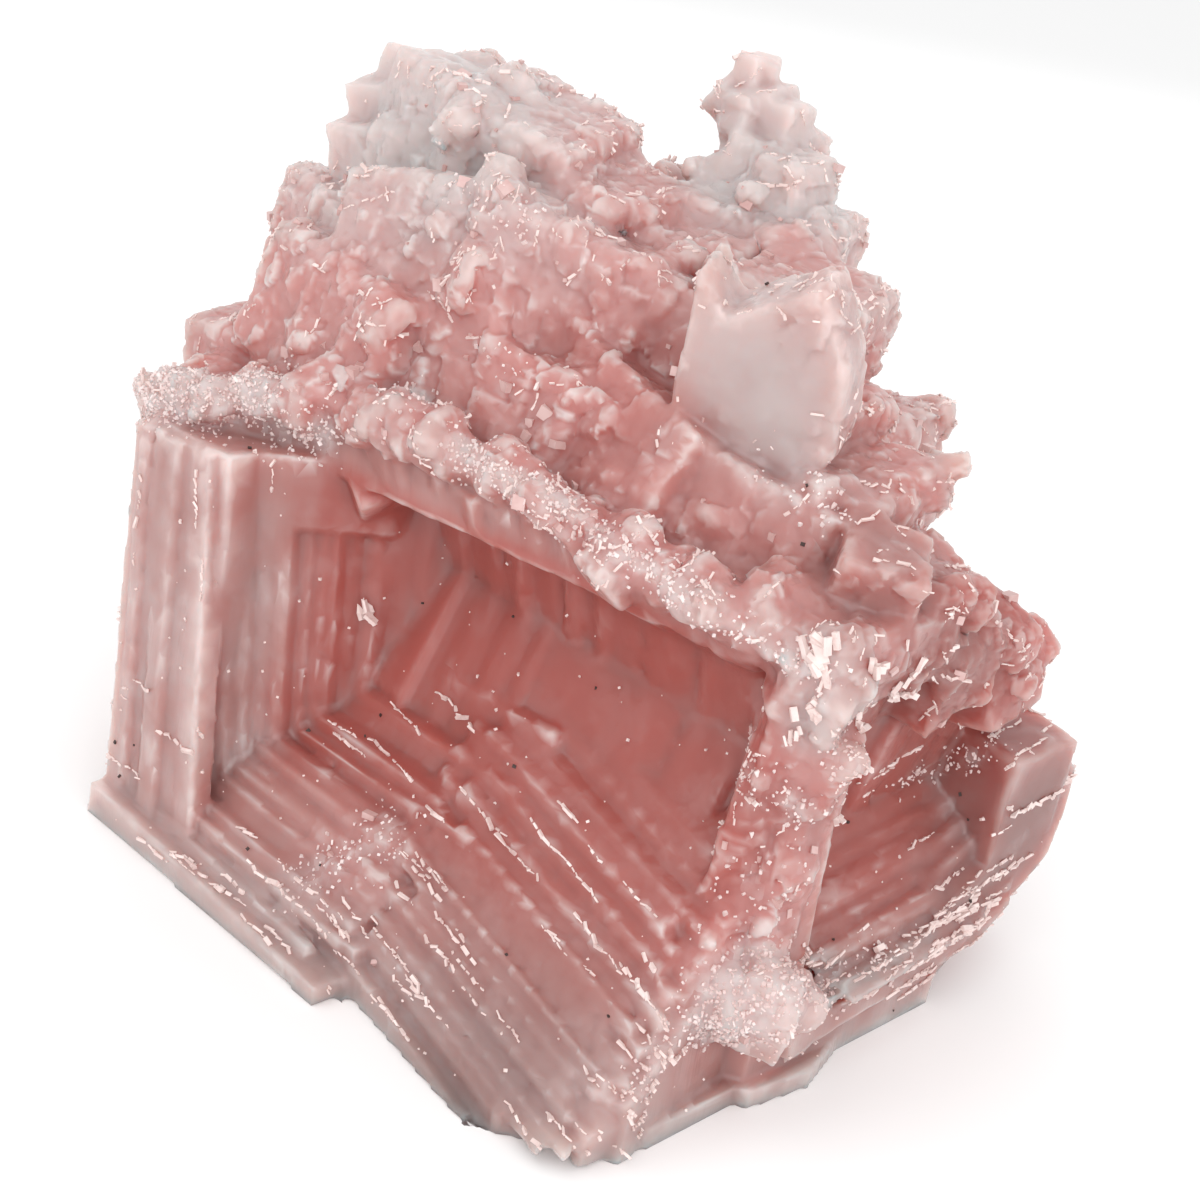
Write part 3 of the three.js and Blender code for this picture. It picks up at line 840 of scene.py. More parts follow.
# paling spots are partly the salt's own pale colour and partly painted light on shaded places; shade
# spots are painted shade
TINT_SPOTS = (
    TintSpot((-58, 7, 56), 11, bleach_and_painted_light=0.95),
    TintSpot((-48, 9, 61), 8, bleach_and_painted_light=0.6),
    TintSpot((-35, 25, 62), 9, bleach_and_painted_light=1.1),
    TintSpot((-30, 25, 56), 8, bleach_and_painted_light=0.9),
    TintSpot((-42, 2, 55), 6, bleach_and_painted_light=0.6),
    TintSpot((-50, 2, 48), 9, bleach_and_painted_light=0.35),
    TintSpot((-32, 4, 54), 8, bleach_and_painted_light=0.45),
    TintSpot((-20, 10, 54), 6, bleach_and_painted_light=0.45),
    TintSpot((-14.5, 4, 50), 8, bleach_and_painted_light=0.75, shade=0.12),
    TintSpot((-10, 4, 45), 4, bleach_and_painted_light=0.5),
    TintSpot((-1.4, 7, 40), 5, bleach_and_painted_light=0.2, shade=0.25),
    TintSpot((-62, 0, 40), 6, bleach_and_painted_light=0.35),
    TintSpot((-10, -4, 32.4), 4, bleach_and_painted_light=0.4),
    TintSpot((-3, -2, 32), 4, bleach_and_painted_light=0.3),
    TintSpot((-57, -16, 14), 10, bleach_and_painted_light=0.35, shade=0.1),
    TintSpot((-56, -16, 27), 8, bleach_and_painted_light=0.3, shade=0.12),
    TintSpot((0, -0.4, 30.6), 2.4, bleach_and_painted_light=0.9),
    TintSpot((1, 14, 4), 8, bleach_and_painted_light=0.2),
    TintSpot((-29, 4, 44), 9, thick=0.65),
    TintSpot((-20, 1, 41), 8, thick=0.6),
    TintSpot((-8, 3, 38), 6, thick=0.45),
    TintSpot((-1, 12, 33), 8, thick=0.6),
    TintSpot((-3, 22, 29), 7, thick=0.6),
    TintSpot((-1, 0, 24), 5, thick=0.6, shade=0.1),
    TintSpot((-1, -1, 16), 5, thick=0.45),
    TintSpot((4, 30, 16), 8, thick=0.2, bleach_and_painted_light=0.25, shade=0.7),
    TintSpot((1.2, -1.8, 10.4), 3.6, bleach_and_painted_light=0.55),
    TintSpot((-3, 24, 14), 4, thick=0.4, shade=0.1),
    TintSpot((-1.5, 13, 32), 7.5, thick=0.7, shade=0.22),
    TintSpot((-3, 21, 25), 7, thick=0.6, shade=0.15),
    TintSpot((-14, -17, -1), 10, shade=0.5),
    TintSpot((-28, -17, 0), 9, shade=0.1),
    TintSpot((-22, -12, 4), 8, bleach_and_painted_light=0.2),
    TintSpot((0, 6, 3), 9, shade=0.22),
    TintSpot((-3, 5, 36), 5, thick=0.3, shade=0.15),
    TintSpot((-8, -14, 1), 7, shade=0.5),
    TintSpot((5, 30, 12), 9, thick=1.0, shade=0.45),
    TintSpot((-5, 25, 19), 5, thick=0.4),
    TintSpot((-1, 19, 29.5), 7, thick=0.9, shade=0.12),
    TintSpot((-1, 0, 21), 5, thick=0.5, shade=0.1),
    TintSpot((-22, -4, 36.4), 6, thick=0.4),
    TintSpot((-14, -4, 35.4), 5, thick=0.3),
    TintSpot((-44, -9, 29), 8, bleach_and_painted_light=0.15),
    TintSpot((0.3, 12.5, 31), 7, thick=0.9, shade=0.35),
    TintSpot((-0.6, -0.8, 22), 4, shade=0.15),
    TintSpot((-3, 26.5, 15), 4, bleach_and_painted_light=0.3),
    TintSpot((-1.4, 6, 40), 5, shade=0.1),
    TintSpot((-29, 3, 48), 8, thick=0.45),
    TintSpot((-0.6, 21, 7), 6, shade=0.2),
    TintSpot((-48, -11, 20), 6, bleach_and_painted_light=0.3),
    TintSpot((-48, -11, 9), 6, bleach_and_painted_light=0.3),
)

CALM_SPOTS = (
    TintSpot((-14.5, 3.4, 48.5), 9),
    TintSpot((-2.2, 29.6, 16), 5.5),
    TintSpot((-4, 7, 38), 4.5),
    TintSpot((-36.6, 25.6, 63), 6),
    TintSpot((-58.6, 7, 61), 4),
    TintSpot((-61.5, 4.4, 57), 4.5),
)


SMOOTH_LUMP = TintSpot((1, -2.4, 10.4), 3.4)
ROUGH_SPOTS = (
    TintSpot((-0.6, 0, 26), 5.5),
    TintSpot((-0.6, -0.6, 18), 5),
    TintSpot((0.5, -3, 12), 4),
    TintSpot((-31, -12, 6), 4),
)


def nearness(points: np.ndarray, spot: TintSpot) -> np.ndarray:
    """How near each point is to a spot: 1 at its middle, fading over its radius."""
    return np.exp(-((np.linalg.norm(points - np.array(spot.middle), axis=1) / spot.reach) ** 2))


def funnel_depth(points: np.ndarray) -> np.ndarray:
    """How deep each point lies in one of the two funnels, from 0 at the mouth to 1."""
    x, y, z = points.T
    front = smooth(x, -49.5, -43) * smooth(x, 1, -4) * smooth(z, 34.5, 32) * smooth(y, -14.5, -5)
    right = smooth(x, 0.5, -5) * smooth(y, 1, 6) * smooth(y, 31, 24) * smooth(z, 31, 28)
    return np.maximum(front, 0.9 * right)


def deep_share(points: np.ndarray) -> np.ndarray:
    """How far each point belongs to the melted-looking deep end of the front funnel."""
    x, y, z = points.T
    return smooth(x, -47, -43) * smooth(x, -2, -7) * smooth(z, 36, 34.5) * smooth(y, -8, -1)


class SaltBulk:
    """How much salt lies around any spot, from a grid of the fused solid."""

    STEP = 0.9

    def __init__(self, mesh: bpy.types.Mesh, layout: Layout) -> None:
        """Fills the grid by casting rays upwards through the solid.

        Args:
            mesh: the closed solid, in metres.
            layout: converts to layout millimetres.
        """
        points = layout.millimetres(vertex_array(mesh))
        self.margin = 12.0
        self.low = points.min(0) - self.margin
        size = np.ceil((points.max(0) + self.margin - self.low) / self.STEP).astype(int) + 1
        grid = np.zeros(size, np.float32)
        tree = BVHTree.FromPolygons(points.tolist(), [list(p.vertices) for p in mesh.polygons])
        up = Vector((0, 0, 1))
        heights = self.low[2] + self.STEP * np.arange(size[2])
        for i in range(size[0]):
            for j in range(size[1]):
                x = self.low[0] + i * self.STEP + 0.013
                y = self.low[1] + j * self.STEP + 0.017
                z = self.low[2]
                entered = None
                while True:
                    hit, normal, _, _ = tree.ray_cast(Vector((x, y, z)), up)
                    if hit is None:
                        break
                    if normal.z < 0:
                        entered = hit.z if entered is None else entered
                    elif entered is not None:
                        grid[i, j, (heights >= entered) & (heights <= hit.z)] = 1
                        entered = None
                    z = hit.z + 0.02
        self.grid = grid

    def blurred(self, sigma: float) -> np.ndarray:
        """The grid, blurred by a bell curve of that many millimetres."""
        reach = int(3 * sigma / self.STEP)
        bell = np.exp(-0.5 * (np.arange(-reach, reach + 1) * self.STEP / sigma) ** 2)
        bell /= bell.sum()
        out = self.grid
        for axis in range(3):
            out = np.apply_along_axis(lambda row: np.convolve(row, bell, mode="same"), axis, out)
        return out

    def sample(self, blurred: np.ndarray, points: np.ndarray) -> np.ndarray:
        """Share of salt around each point, from 0 to 1."""
        cell = (points - self.low) / self.STEP
        base = np.clip(np.floor(cell).astype(int), 0, np.array(blurred.shape) - 2)
        part = cell - base
        total = np.zeros(len(points))
        for corner in range(8):
            step = np.array([corner & 1, corner >> 1 & 1, corner >> 2 & 1])
            weight = np.prod(np.where(step, part, 1 - part), axis=1)
            total += weight * blurred[tuple((base + step).T)]
        return total


CRUST_PATCHES = LatticeNoise(77)


def crust_share(points: np.ndarray) -> np.ndarray:
    """How crusted each point is with white salt, from 0 up, in patches along each crust line."""
    total = np.zeros(len(points))
    for line in CRUST_LINES:
        away = distance_to_line(points, np.array(line.points, float))
        total = np.maximum(total, line.strength * np.exp(-((away / line.reach) ** 2)))
    return total * (0.7 + 0.4 * smooth(CRUST_PATCHES.at(points, 3.4), -0.25, 0.25))


def rough_share(points: np.ndarray) -> np.ndarray:
    """How rough each point is: 1 on the intergrown mass, 0 on the cube's growth steps."""
    x, y, z = points.T
    ridge = np.interp(x, [-60, -45, -30, 0], [34.5, 36, 37, 33])
    above = smooth(z - ridge, -1.5, 1.5)
    right = smooth(x, -9, -5) * smooth(z, 24.5, 28) * smooth(y, 4, 8)
    back = 0.5 * smooth(y, 12, 18) * smooth(z, 18, 28)
    rough = above + right + back
    for spot in ROUGH_SPOTS:
        rough += 0.9 * nearness(points, spot)
    rough = np.clip(rough, 0, 1)
    for spot in CALM_SPOTS:
        rough *= 1 - nearness(points, spot)
    return rough


# ---------------------------------------------------------------------------------------- crystals


class CrystalGrower:
    """Geometry Nodes tree that sets a small box crystal on each vertex of a cloud of points."""

    def __init__(self) -> None:
        """Builds the tree, with inputs for the box's proportions, the size spread and the seed."""
        tree = bpy.data.node_groups.new("grow_crystals", "GeometryNodeTree")
        face = tree.interface
        face.new_socket("Geometry", in_out="INPUT", socket_type="NodeSocketGeometry")
        self.sockets = {
            "Proportions": face.new_socket("Proportions", in_out="INPUT", socket_type=VECTOR),
            "Spread": face.new_socket("Spread", in_out="INPUT", socket_type=FLOAT),
            "Seed": face.new_socket("Seed", in_out="INPUT", socket_type="NodeSocketInt"),
            "Finish": face.new_socket("Finish", in_out="INPUT", socket_type="NodeSocketMaterial"),
        }
        face.new_socket("Geometry", in_out="OUTPUT", socket_type="NodeSocketGeometry")
        maker = Nodes(tree)
        given = maker.add("NodeGroupInput")
        cube = maker.feed(maker.add("GeometryNodeMeshCube"), Size=given.outputs["Proportions"])
        edge = maker.add("GeometryNodeInputNamedAttribute", data_type="FLOAT")
        maker.feed(edge, Name="edge")
        turn = maker.add("GeometryNodeInputNamedAttribute", data_type="FLOAT_VECTOR")
        maker.feed(turn, Name="turn")
        vary = maker.add("FunctionNodeRandomValue", data_type="FLOAT_VECTOR")
        spread = given.outputs["Spread"]
        maker.feed(vary, n0=maker.math("SUBTRACT", 1.0, spread), n1=maker.math("ADD", 1.0, spread))
        maker.link(given.outputs["Seed"], vary.inputs["Seed"])
        scale = maker.add("ShaderNodeVectorMath", operation="SCALE")
        maker.feed(scale, n0=vary.outputs[0], Scale=edge.outputs[0])
        angle = maker.add("FunctionNodeEulerToRotation")
        maker.link(turn.outputs[0], angle.inputs[0])
        grow = maker.add("GeometryNodeInstanceOnPoints")
        maker.feed(grow, Points=given.outputs["Geometry"], Instance=cube.outputs["Mesh"],
                   Rotation=angle.outputs[0], Scale=scale.outputs[0])
        real = maker.feed(maker.add("GeometryNodeRealizeInstances"), Geometry=grow.outputs[0])
        dress = maker.add("GeometryNodeSetMaterial")
        maker.feed(dress, Geometry=real.outputs[0], Material=given.outputs["Finish"])
        result = maker.add("NodeGroupOutput")
        maker.link(dress.outputs[0], result.inputs[0])
        self.tree = tree

    def grow(self, name: str, points: np.ndarray, edges: np.ndarray, turns: np.ndarray,
             layout: Layout, finish: bpy.types.Material | None, seed: int,
             proportions: Point = (1, 1, 1), spread: float = 0.35) -> bpy.types.Mesh:
        """Grows crystals and returns them as one plain mesh.

        Args:
            name: the mesh's name.
            points: where, in layout millimetres.
            edges: each crystal's edge, in layout millimetres.
            turns: each crystal's turns about X, Y and Z, in radians.
            layout: converts to metres.
            finish: their material.
            seed: seed of the random proportions.
            proportions: the box's proportions before they vary.
            spread: how far each side varies.

        Returns:
            The realized mesh, in metres.
        """
        cloud = bpy.data.meshes.new(name + "_points")
        cloud.from_pydata(layout.metres(points).tolist(), [], [])
        put_attribute(cloud, "edge", edges * layout.unit)
        layer = cloud.attributes.new("turn", "FLOAT_VECTOR", "POINT")
        layer.data.foreach_set("vector", turns.astype(np.float32).ravel())
        carrier = new_object(name + "_carrier", cloud)
        modifier = carrier.modifiers.new("grow", "NODES")
        modifier.node_group = self.tree
        modifier[self.sockets["Proportions"].identifier] = proportions
        modifier[self.sockets["Spread"].identifier] = spread
        modifier[self.sockets["Seed"].identifier] = seed
        modifier[self.sockets["Finish"].identifier] = finish
        mesh = baked_mesh(carrier, name)
        bpy.data.objects.remove(carrier)
        return mesh


# ---------------------------------------------------------------------------------------- the body


@dataclass(frozen=True)
class RidgeFan:
    """A family of growth ridges that fan from a first line to a last one.

    Args:
        count: how many ridges.
        first: ends of the first ridge, in layout millimetres.
        last: ends of the last ridge.
        out: direction in which they stand out.
        lift: least and most distance that they stand out.
        width: least and most thickness.
        trim: most that either end falls short, as a share of the length.
    """

    count: int
    first: tuple[Point, Point]
    last: tuple[Point, Point]
    out: Point
    lift: tuple[float, float]
    width: tuple[float, float]
    trim: float = 0.35

    def line(self, share: float) -> tuple[np.ndarray, np.ndarray]:
        """Ends of the ridge at a share of the way from the first to the last."""
        first, last = np.array(self.first, float), np.array(self.last, float)
        start, end = first + (last - first) * share
        return start, end

    @property
    def direction(self) -> np.ndarray:
        """Direction of the middle ridge."""
        start, end = self.line(0.5)
        return (end - start) / np.linalg.norm(end - start)


UP_SLOPE = (0.0, -0.7, 0.7)
RIDGE_FANS = (
    # bottom wall of the front funnel, and the shorter terraces left of it: backing, then fine ridges
    RidgeFan(18, ((-27.6, -10.6, 5), (-0.6, -14, 1.4)), ((-31, 5, 21.4), (-1.6, 0.4, 16.6)),
             UP_SLOPE, (0, 0.4), (2.4, 3.0), 0.02),
    RidgeFan(14, ((-52, -11.6, 4.6), (-26, -12.6, 3.4)), ((-44, 3.4, 16.5), (-29, 3.4, 17.5)),
             UP_SLOPE, (0.1, 0.5), (2.6, 3.2), 0.02),
    RidgeFan(25, ((-27.4, -12.2, 3.2), (0, -16, -0.8)), ((-31, 5, 21.4), (-1.6, 0.4, 16.6)),
             UP_SLOPE, (1.6, 2.3), (0.5, 1.0), 0.16),
    RidgeFan(16, ((-55, -16.6, 0.8), (-24, -17.2, -0.6)), ((-44, 3.4, 16.5), (-29, 3.4, 17.5)),
             UP_SLOPE, (1.7, 2.5), (0.6, 1.1), 0.16),
    # backing that closes the slots between the steps of the left wall
    RidgeFan(16, ((-46.4, -12, 3), (-49.8, -11, 33)), ((-39.4, 3, 14), (-39.8, 3.4, 33)),
             (0.8, -0.6, 0), (-1.0, -0.5), (2.4, 3.2), 0.02),
    # upright ridges on the left rim, its inner edge, the stepped left wall and the deep end
    RidgeFan(12, ((-55, -17.2, 0.5), (-58.4, -14.2, 33)), ((-47, -14.6, 1), (-50.4, -13.8, 33)),
             (0, -1, 0), (0.1, 0.5), (0.5, 1.1)),
    RidgeFan(22, ((-46.4, -12, 3), (-49.8, -11, 33)), ((-39.4, 3, 14), (-39.8, 3.4, 33)),
             (0.8, -0.6, 0), (-0.1, 0.5), (0.5, 1.1)),
    RidgeFan(30, ((-41, 4.2, 14), (-41, 4.2, 33)), ((-8, 4.2, 20), (-8, 4.2, 32)),
             (0, -1, 0), (0, 1.2), (0.7, 1.8)),
    # bottom wall of the right funnel, its deep end and the bank at its far end
    RidgeFan(30, ((0.6, 3, 4.6), (0.2, 30, 6.6)), ((-11, 5, 17), (-11.4, 22, 19.2)),
             (0.6, 0, 0.8), (1.0, 1.7), (0.5, 0.9), 0.2),
    RidgeFan(14, ((-9, 5, 15), (-5, 7, 31)), ((-9, 25, 16), (-5, 22, 29)),
             (1, 0, 0), (0, 1.2), (2.2, 3.4), 0.05),
    RidgeFan(22, ((0, 19.4, 7.2), (-0.4, 30, 12.4)), ((-11, 19.6, 16.4), (-9, 28, 19.6)),
             (0.6, 0, 0.8), (0, 0.6), (0.8, 1.6), 0.12),
)


JUNCTION_FILLS = (
    ((-47, 1, 15), (-22, 0, 17.4), 3.4),
    ((-46, -2, 12), (-22, -3, 13.6), 3.2),
    ((-46, -5.4, 8.6), (-23, -6.4, 10), 3.2),
    ((-44, 3.6, 19), (-24, 3.4, 20.4), 3.4),
    ((-20, 3.2, 20.6), (-8, 2.6, 19.8), 3.2),
    ((-48.7, -11.9, 5), (-49.5, -11.9, 33), 3.7),
)


@dataclass(frozen=True)
class Drapery:
    """Flutes that hang side by side, each bent over the same few rails.

    Args:
        count: how many flutes.
        rails: left and right end of each rail, from the top rail down, in layout millimetres.
        lift: most that a flute stands forward.
        width: least and most width.
    """

    count: int
    rails: tuple[tuple[Point, Point], ...]
    lift: float
    width: tuple[float, float]

    def add_to(self, boxes: Boxes, random: np.random.Generator) -> None:
        """Adds the flutes as bars."""
        rails = np.array(self.rails, float)
        for share in np.linspace(0, 1, self.count):
            spread = share + random.uniform(-0.01, 0.01)
            corners = rails[:, 0] + (rails[:, 1] - rails[:, 0]) * spread
            corners[:, 1] -= random.uniform(0, self.lift)
            wide, high = random.uniform(*self.width, 2)
            for start, end in zip(corners[:-1], corners[1:]):
                boxes.bar(start, end, wide, high)


# from under the crusted ridge to the deep end, and on down to the bottom wall
DEEP_DRAPERY = Drapery(
    52,
    (
        ((-41, -5.2, 36), (-6, -1.6, 34.6)),
        ((-41, -4.4, 33.4), (-6, -0.8, 32.4)),
        ((-41, 1.6, 31.2), (-7, 2.2, 30.4)),
        ((-41, 3.8, 25), (-8, 3.8, 24)),
        ((-41, -1.5, 14.6), (-8, -0.5, 14.8)),
    ),
    1.1,
    (0.8, 2.0),
)


# height in layout millimetres, cell size and seed of each size of facet on the rough skin
SKIN_FACETS = ((0.26, 3.8, 5), (0.12, 1.8, 6), (0.05, 0.9, 7))

# intergrown cubes: roughness and height that they start at, and their least edge and its range
FULLY_ROUGH, CUBES_FROM_HEIGHT, CUBE_EDGE = 0.75, 3, (1.2, 3.2)

# widest turn of a freely turned crystal, in radians
FREE_TURN = 1.6


@dataclass
class SaltBody:
    """The fused crystal itself.

    Args:
        layout: places everything.
        grower: grows the intergrown cubes.
        voxel: size of the fusing grid, in layout millimetres.
        faces: most triangles that the skin may have.
        cube_count: how many intergrown cubes.
        soften: rounds of smoothing straight after fusing.
        relax_rounds: rounds of smoothing where the salt has partly dissolved.
        noise: soft unevenness of the skin.
        bulk: the salt grid, filled while the skin is coloured.
    """

    layout: Layout
    grower: CrystalGrower
    voxel: float = 0.3
    faces: int = 196000
    cube_count: int = 520
    soften: int = 2
    relax_rounds: int = 17
    noise: LatticeNoise = field(default_factory=lambda: LatticeNoise(3))
    bulk: "SaltBulk | None" = None

    def growth_ridges(self) -> Boxes:
        """Fine ridges between the solid's own, on the funnels' walls and on the left rim."""
        boxes = Boxes()
        random = np.random.default_rng(21)
        for fan in RIDGE_FANS:
            for share in np.linspace(0, 1, fan.count):
                start, end = fan.line(share + random.uniform(-0.012, 0.012))
                lift = np.array(fan.out) * random.uniform(*fan.lift)
                first, last = random.uniform(0, fan.trim), 1 - random.uniform(0, fan.trim)
                boxes.bar(start + (end - start) * first + lift, start + (end - start) * last + lift,
                          random.uniform(*fan.width), random.uniform(*fan.width))
        DEEP_DRAPERY.add_to(boxes, random)
        for start, end, thick in JUNCTION_FILLS:
            boxes.bar(start, end, thick, thick)
        return boxes

    def swellings(self) -> list[Lump]:
        """Rounded salt on the crust lines, and the white lump at the foot of the dividing edge."""
        random = np.random.default_rng(9)
        lumps = [
            Lump((1.2, -1.6, 10.4), (2.9, 2.6, 2.7)), Lump((0.2, -4.2, 9.2), (1.3, 1.5, 2.2)),
            Lump((-0.6, -3.4, 11), (1.7, 1.5, 1.4)), Lump((2.6, 0.6, 9.2), (1.8, 2.0, 1.8)),
            Lump((0.4, -0.8, 31), (1.2, 1.0, 3.0)), Lump((1.6, 1.0, 27.8), (1.5, 1.3, 1.2)),
        ]
        for line in CRUST_LINES[:9]:
            corners = np.array(line.points, float)
            for a, b in zip(corners[:-1], corners[1:]):
                for share in np.arange(0, 1, 0.9 / max(np.linalg.norm(b - a), 1)):
                    size = line.reach * random.uniform(0.22, 0.5, 3)
                    spread = random.uniform(-0.45, 0.45, 3) * line.reach
                    lumps.append(Lump(tuple(a + (b - a) * share + spread), tuple(size)))
        return lumps

    def intergrown_cubes(self, solid: bpy.types.Mesh) -> bpy.types.Mesh:
        """Small cubes half sunk in the rough mass."""
        source = SurfacePoints(solid, 8)
        points, normals = source.draw(self.cube_count * 6, self.layout)
        rough = rough_share(points)
        grown = (rough > FULLY_ROUGH) & (points[:, 2] > CUBES_FROM_HEIGHT)
        keep = (source.random.random(len(points)) < rough) & grown
        points, normals = points[keep][: self.cube_count], normals[keep][: self.cube_count]
        count = len(points)
        edges = CUBE_EDGE[0] + CUBE_EDGE[1] * source.random.random(count) ** 2
        loose = source.random.random(count) < 0.85
        turns = source.random.uniform(-1, 1, (count, 3)) * np.where(loose, FREE_TURN, 0.25)[:, None]
        points = points - normals * (edges * 0.36)[:, None]
        return self.grower.grow("intergrown_crystals", points, edges, turns, self.layout, None, 4,
                                (1, 0.85, 0.6))

    def fused(self) -> bpy.types.Mesh:
        """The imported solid's copy with its ridges and cubes, fused into one closed skin."""
        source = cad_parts[NODE].data.copy()
        parts = [
            new_object("solid_copy", source),
            new_object("ridges", self.growth_ridges().mesh("ridges", self.layout)),
            new_object("lumps", Lump.mesh(self.swellings(), self.layout)),
            new_object("cubes", self.intergrown_cubes(source)),
        ]
        with bpy.context.temp_override(active_object=parts[0], selected_editable_objects=parts):
            bpy.ops.object.join()
        whole = parts[0]
        whole.data.materials.clear()
        weld = whole.modifiers.new("weld", "WELD")
        weld.merge_threshold = 1e-6
        remesh = whole.modifiers.new("fuse", "REMESH")
        remesh.mode = "VOXEL"
        remesh.voxel_size = self.voxel * self.layout.unit
        soften = whole.modifiers.new("soften", "SMOOTH")
        soften.factor = 0.5
        soften.iterations = self.soften
        mesh = baked_mesh(whole, "fused_salt")
        bpy.data.objects.remove(whole)
        return mesh

    def roughened(self, mesh: bpy.types.Mesh) -> None:
        """Moves the skin in and out: blocky where cubes grew, softly where steps grew."""
        points = self.layout.millimetres(vertex_array(mesh))
        normals = normal_array(mesh)
        rough = rough_share(points)
        crust = np.clip(crust_share(points), 0, 1)
        melt = np.maximum(rough * (1 - 0.5 * crust), 0.5 * deep_share(points))
        points = self.relaxed(mesh, points, melt, self.relax_rounds)
        facets = sum(height * facet_noise(points, size, seed) for height, size, seed in SKIN_FACETS)
        ragged = 0.12 * self.noise.layers(points, 3.4, 3)
        calm = 0.09 * self.noise.layers(points, 5.0, 3)
        sugary = 0.3 * self.noise.layers(points, 1.0, 2)
        shift = rough * (1 - 0.5 * crust) * (facets + ragged + 0.2)
        shift = shift + (1 - rough) * calm + crust * sugary
        foot = smooth(points[:, 2], 0.2, 1.5)
        points += normals * (shift * foot)[:, None]
        points[:, 2] = np.maximum(points[:, 2], 0)
        flat = self.layout.metres(points).astype(np.float32).ravel()
        mesh.vertices.foreach_set("co", flat)
        mesh.update()

    def relaxed(self, mesh: bpy.types.Mesh, points: np.ndarray, weight: np.ndarray,
                rounds: int) -> np.ndarray:
        """Points drawn towards their neighbours, which rounds edges and corners.

        Args:
            mesh: gives the edges.
            points: the vertices, in layout millimetres.
            weight: how strongly each vertex is drawn, from 0 to 1.
            rounds: how many times.

        Returns:
            The new points.
        """
        flat = np.empty(len(mesh.edges) * 2, np.int32)
        mesh.edges.foreach_get("vertices", flat)
        a, b = flat.reshape(-1, 2).T
        size = len(points)
        count = np.maximum(np.bincount(a, minlength=size) + np.bincount(b, minlength=size), 1)
        for _ in range(rounds):
            for axis in range(3):
                value = points[:, axis]
                total = np.bincount(a, value[b], size) + np.bincount(b, value[a], size)
                points[:, axis] = value + 0.6 * weight * (total / count - value)
        return points

    def thinned(self, mesh: bpy.types.Mesh) -> bpy.types.Mesh:
        """The same skin with fewer triangles where it is flat."""
        carrier = new_object("thin_carrier", mesh)
        modifier = carrier.modifiers.new("thin", "DECIMATE")
        triangles = sum(len(face.vertices) - 2 for face in mesh.polygons)
        modifier.ratio = min(1.0, self.faces / triangles)
        thin = baked_mesh(carrier, "salt_body")
        bpy.data.objects.remove(carrier)
        log.info("skin thinned from %d to %d triangles", triangles, len(thin.polygons))
        return thin

    def coloured(self, mesh: bpy.types.Mesh) -> None:
        """Stores the masks: how thick, thin, bleached or lit by painted light, crusted, rough, darkened
        by painted shade, crested for painted highlight and grooved for painted shade each spot is.
        """
        points = self.layout.millimetres(vertex_array(mesh))
        self.bulk = SaltBulk(mesh, self.layout)
        near = self.bulk.sample(self.bulk.blurred(1.6), points)
        far = self.bulk.sample(self.bulk.blurred(5.5), points)
        thick = smooth(far, 0.42, 0.78)
        thin = np.clip(smooth(far, 0.46, 0.2) * 0.8 + smooth(near, 0.45, 0.22) * 0.5, 0, 1)
        bleach_and_painted_light, shade = np.zeros(len(points)), np.zeros(len(points))
        for spot in TINT_SPOTS:
            share = nearness(points, spot)
            bleach_and_painted_light += spot.bleach_and_painted_light * share
            thick += spot.thick * share
            thin -= spot.thick * share
            shade += spot.shade * share
        depth = funnel_depth(points)
        thick = np.clip(0.45 * thick + 0.75 * depth, 0, 1.2)
        thin = np.clip(thin, 0, 1) * (1 - 0.75 * depth)
        # proud spots get the crest mask for painted highlight, sunken ones the groove mask for painted
        # shade
        soft = self.relaxed(mesh, points.copy(), np.ones(len(points)), 5)
        proud = ((points - soft) * normal_array(mesh)).sum(axis=1)
        values = (
            thick, thin, np.clip(bleach_and_painted_light, 0, 1), np.clip(crust_share(points), 0, 1), rough_share(points),
            np.clip(shade, 0, 0.8), smooth(proud, 0.03, 0.17), smooth(proud, -0.04, -0.2),
        )
        for name, value in zip(MASKS, values, strict=True):
            put_attribute(mesh, name, value)

    def build(self, finish: bpy.types.Material) -> bpy.types.Object:
        """Builds and dresses the body.

        Args:
            finish: the milky salt material.

        Returns:
            The finished piece.
        """
        mesh = self.fused()
        self.roughened(mesh)
        thin = self.thinned(mesh)
        self.coloured(thin)
        thin.materials.clear()
        thin.materials.append(finish)
        thin.shade_smooth()
        piece = salt_piece("salt_body", thin)
        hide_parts(NODE)
        return piece


# ---------------------------------------------------------------------------------------- small salt


def turn_along(direction: np.ndarray, roll: float) -> tuple[float, float, float]:
    """Turns about X, Y and Z that lay a crystal's long side along a direction."""
    level = Vector(direction).to_track_quat("X", "Z")
    return tuple((level @ Quaternion((1, 0, 0), roll)).to_euler())


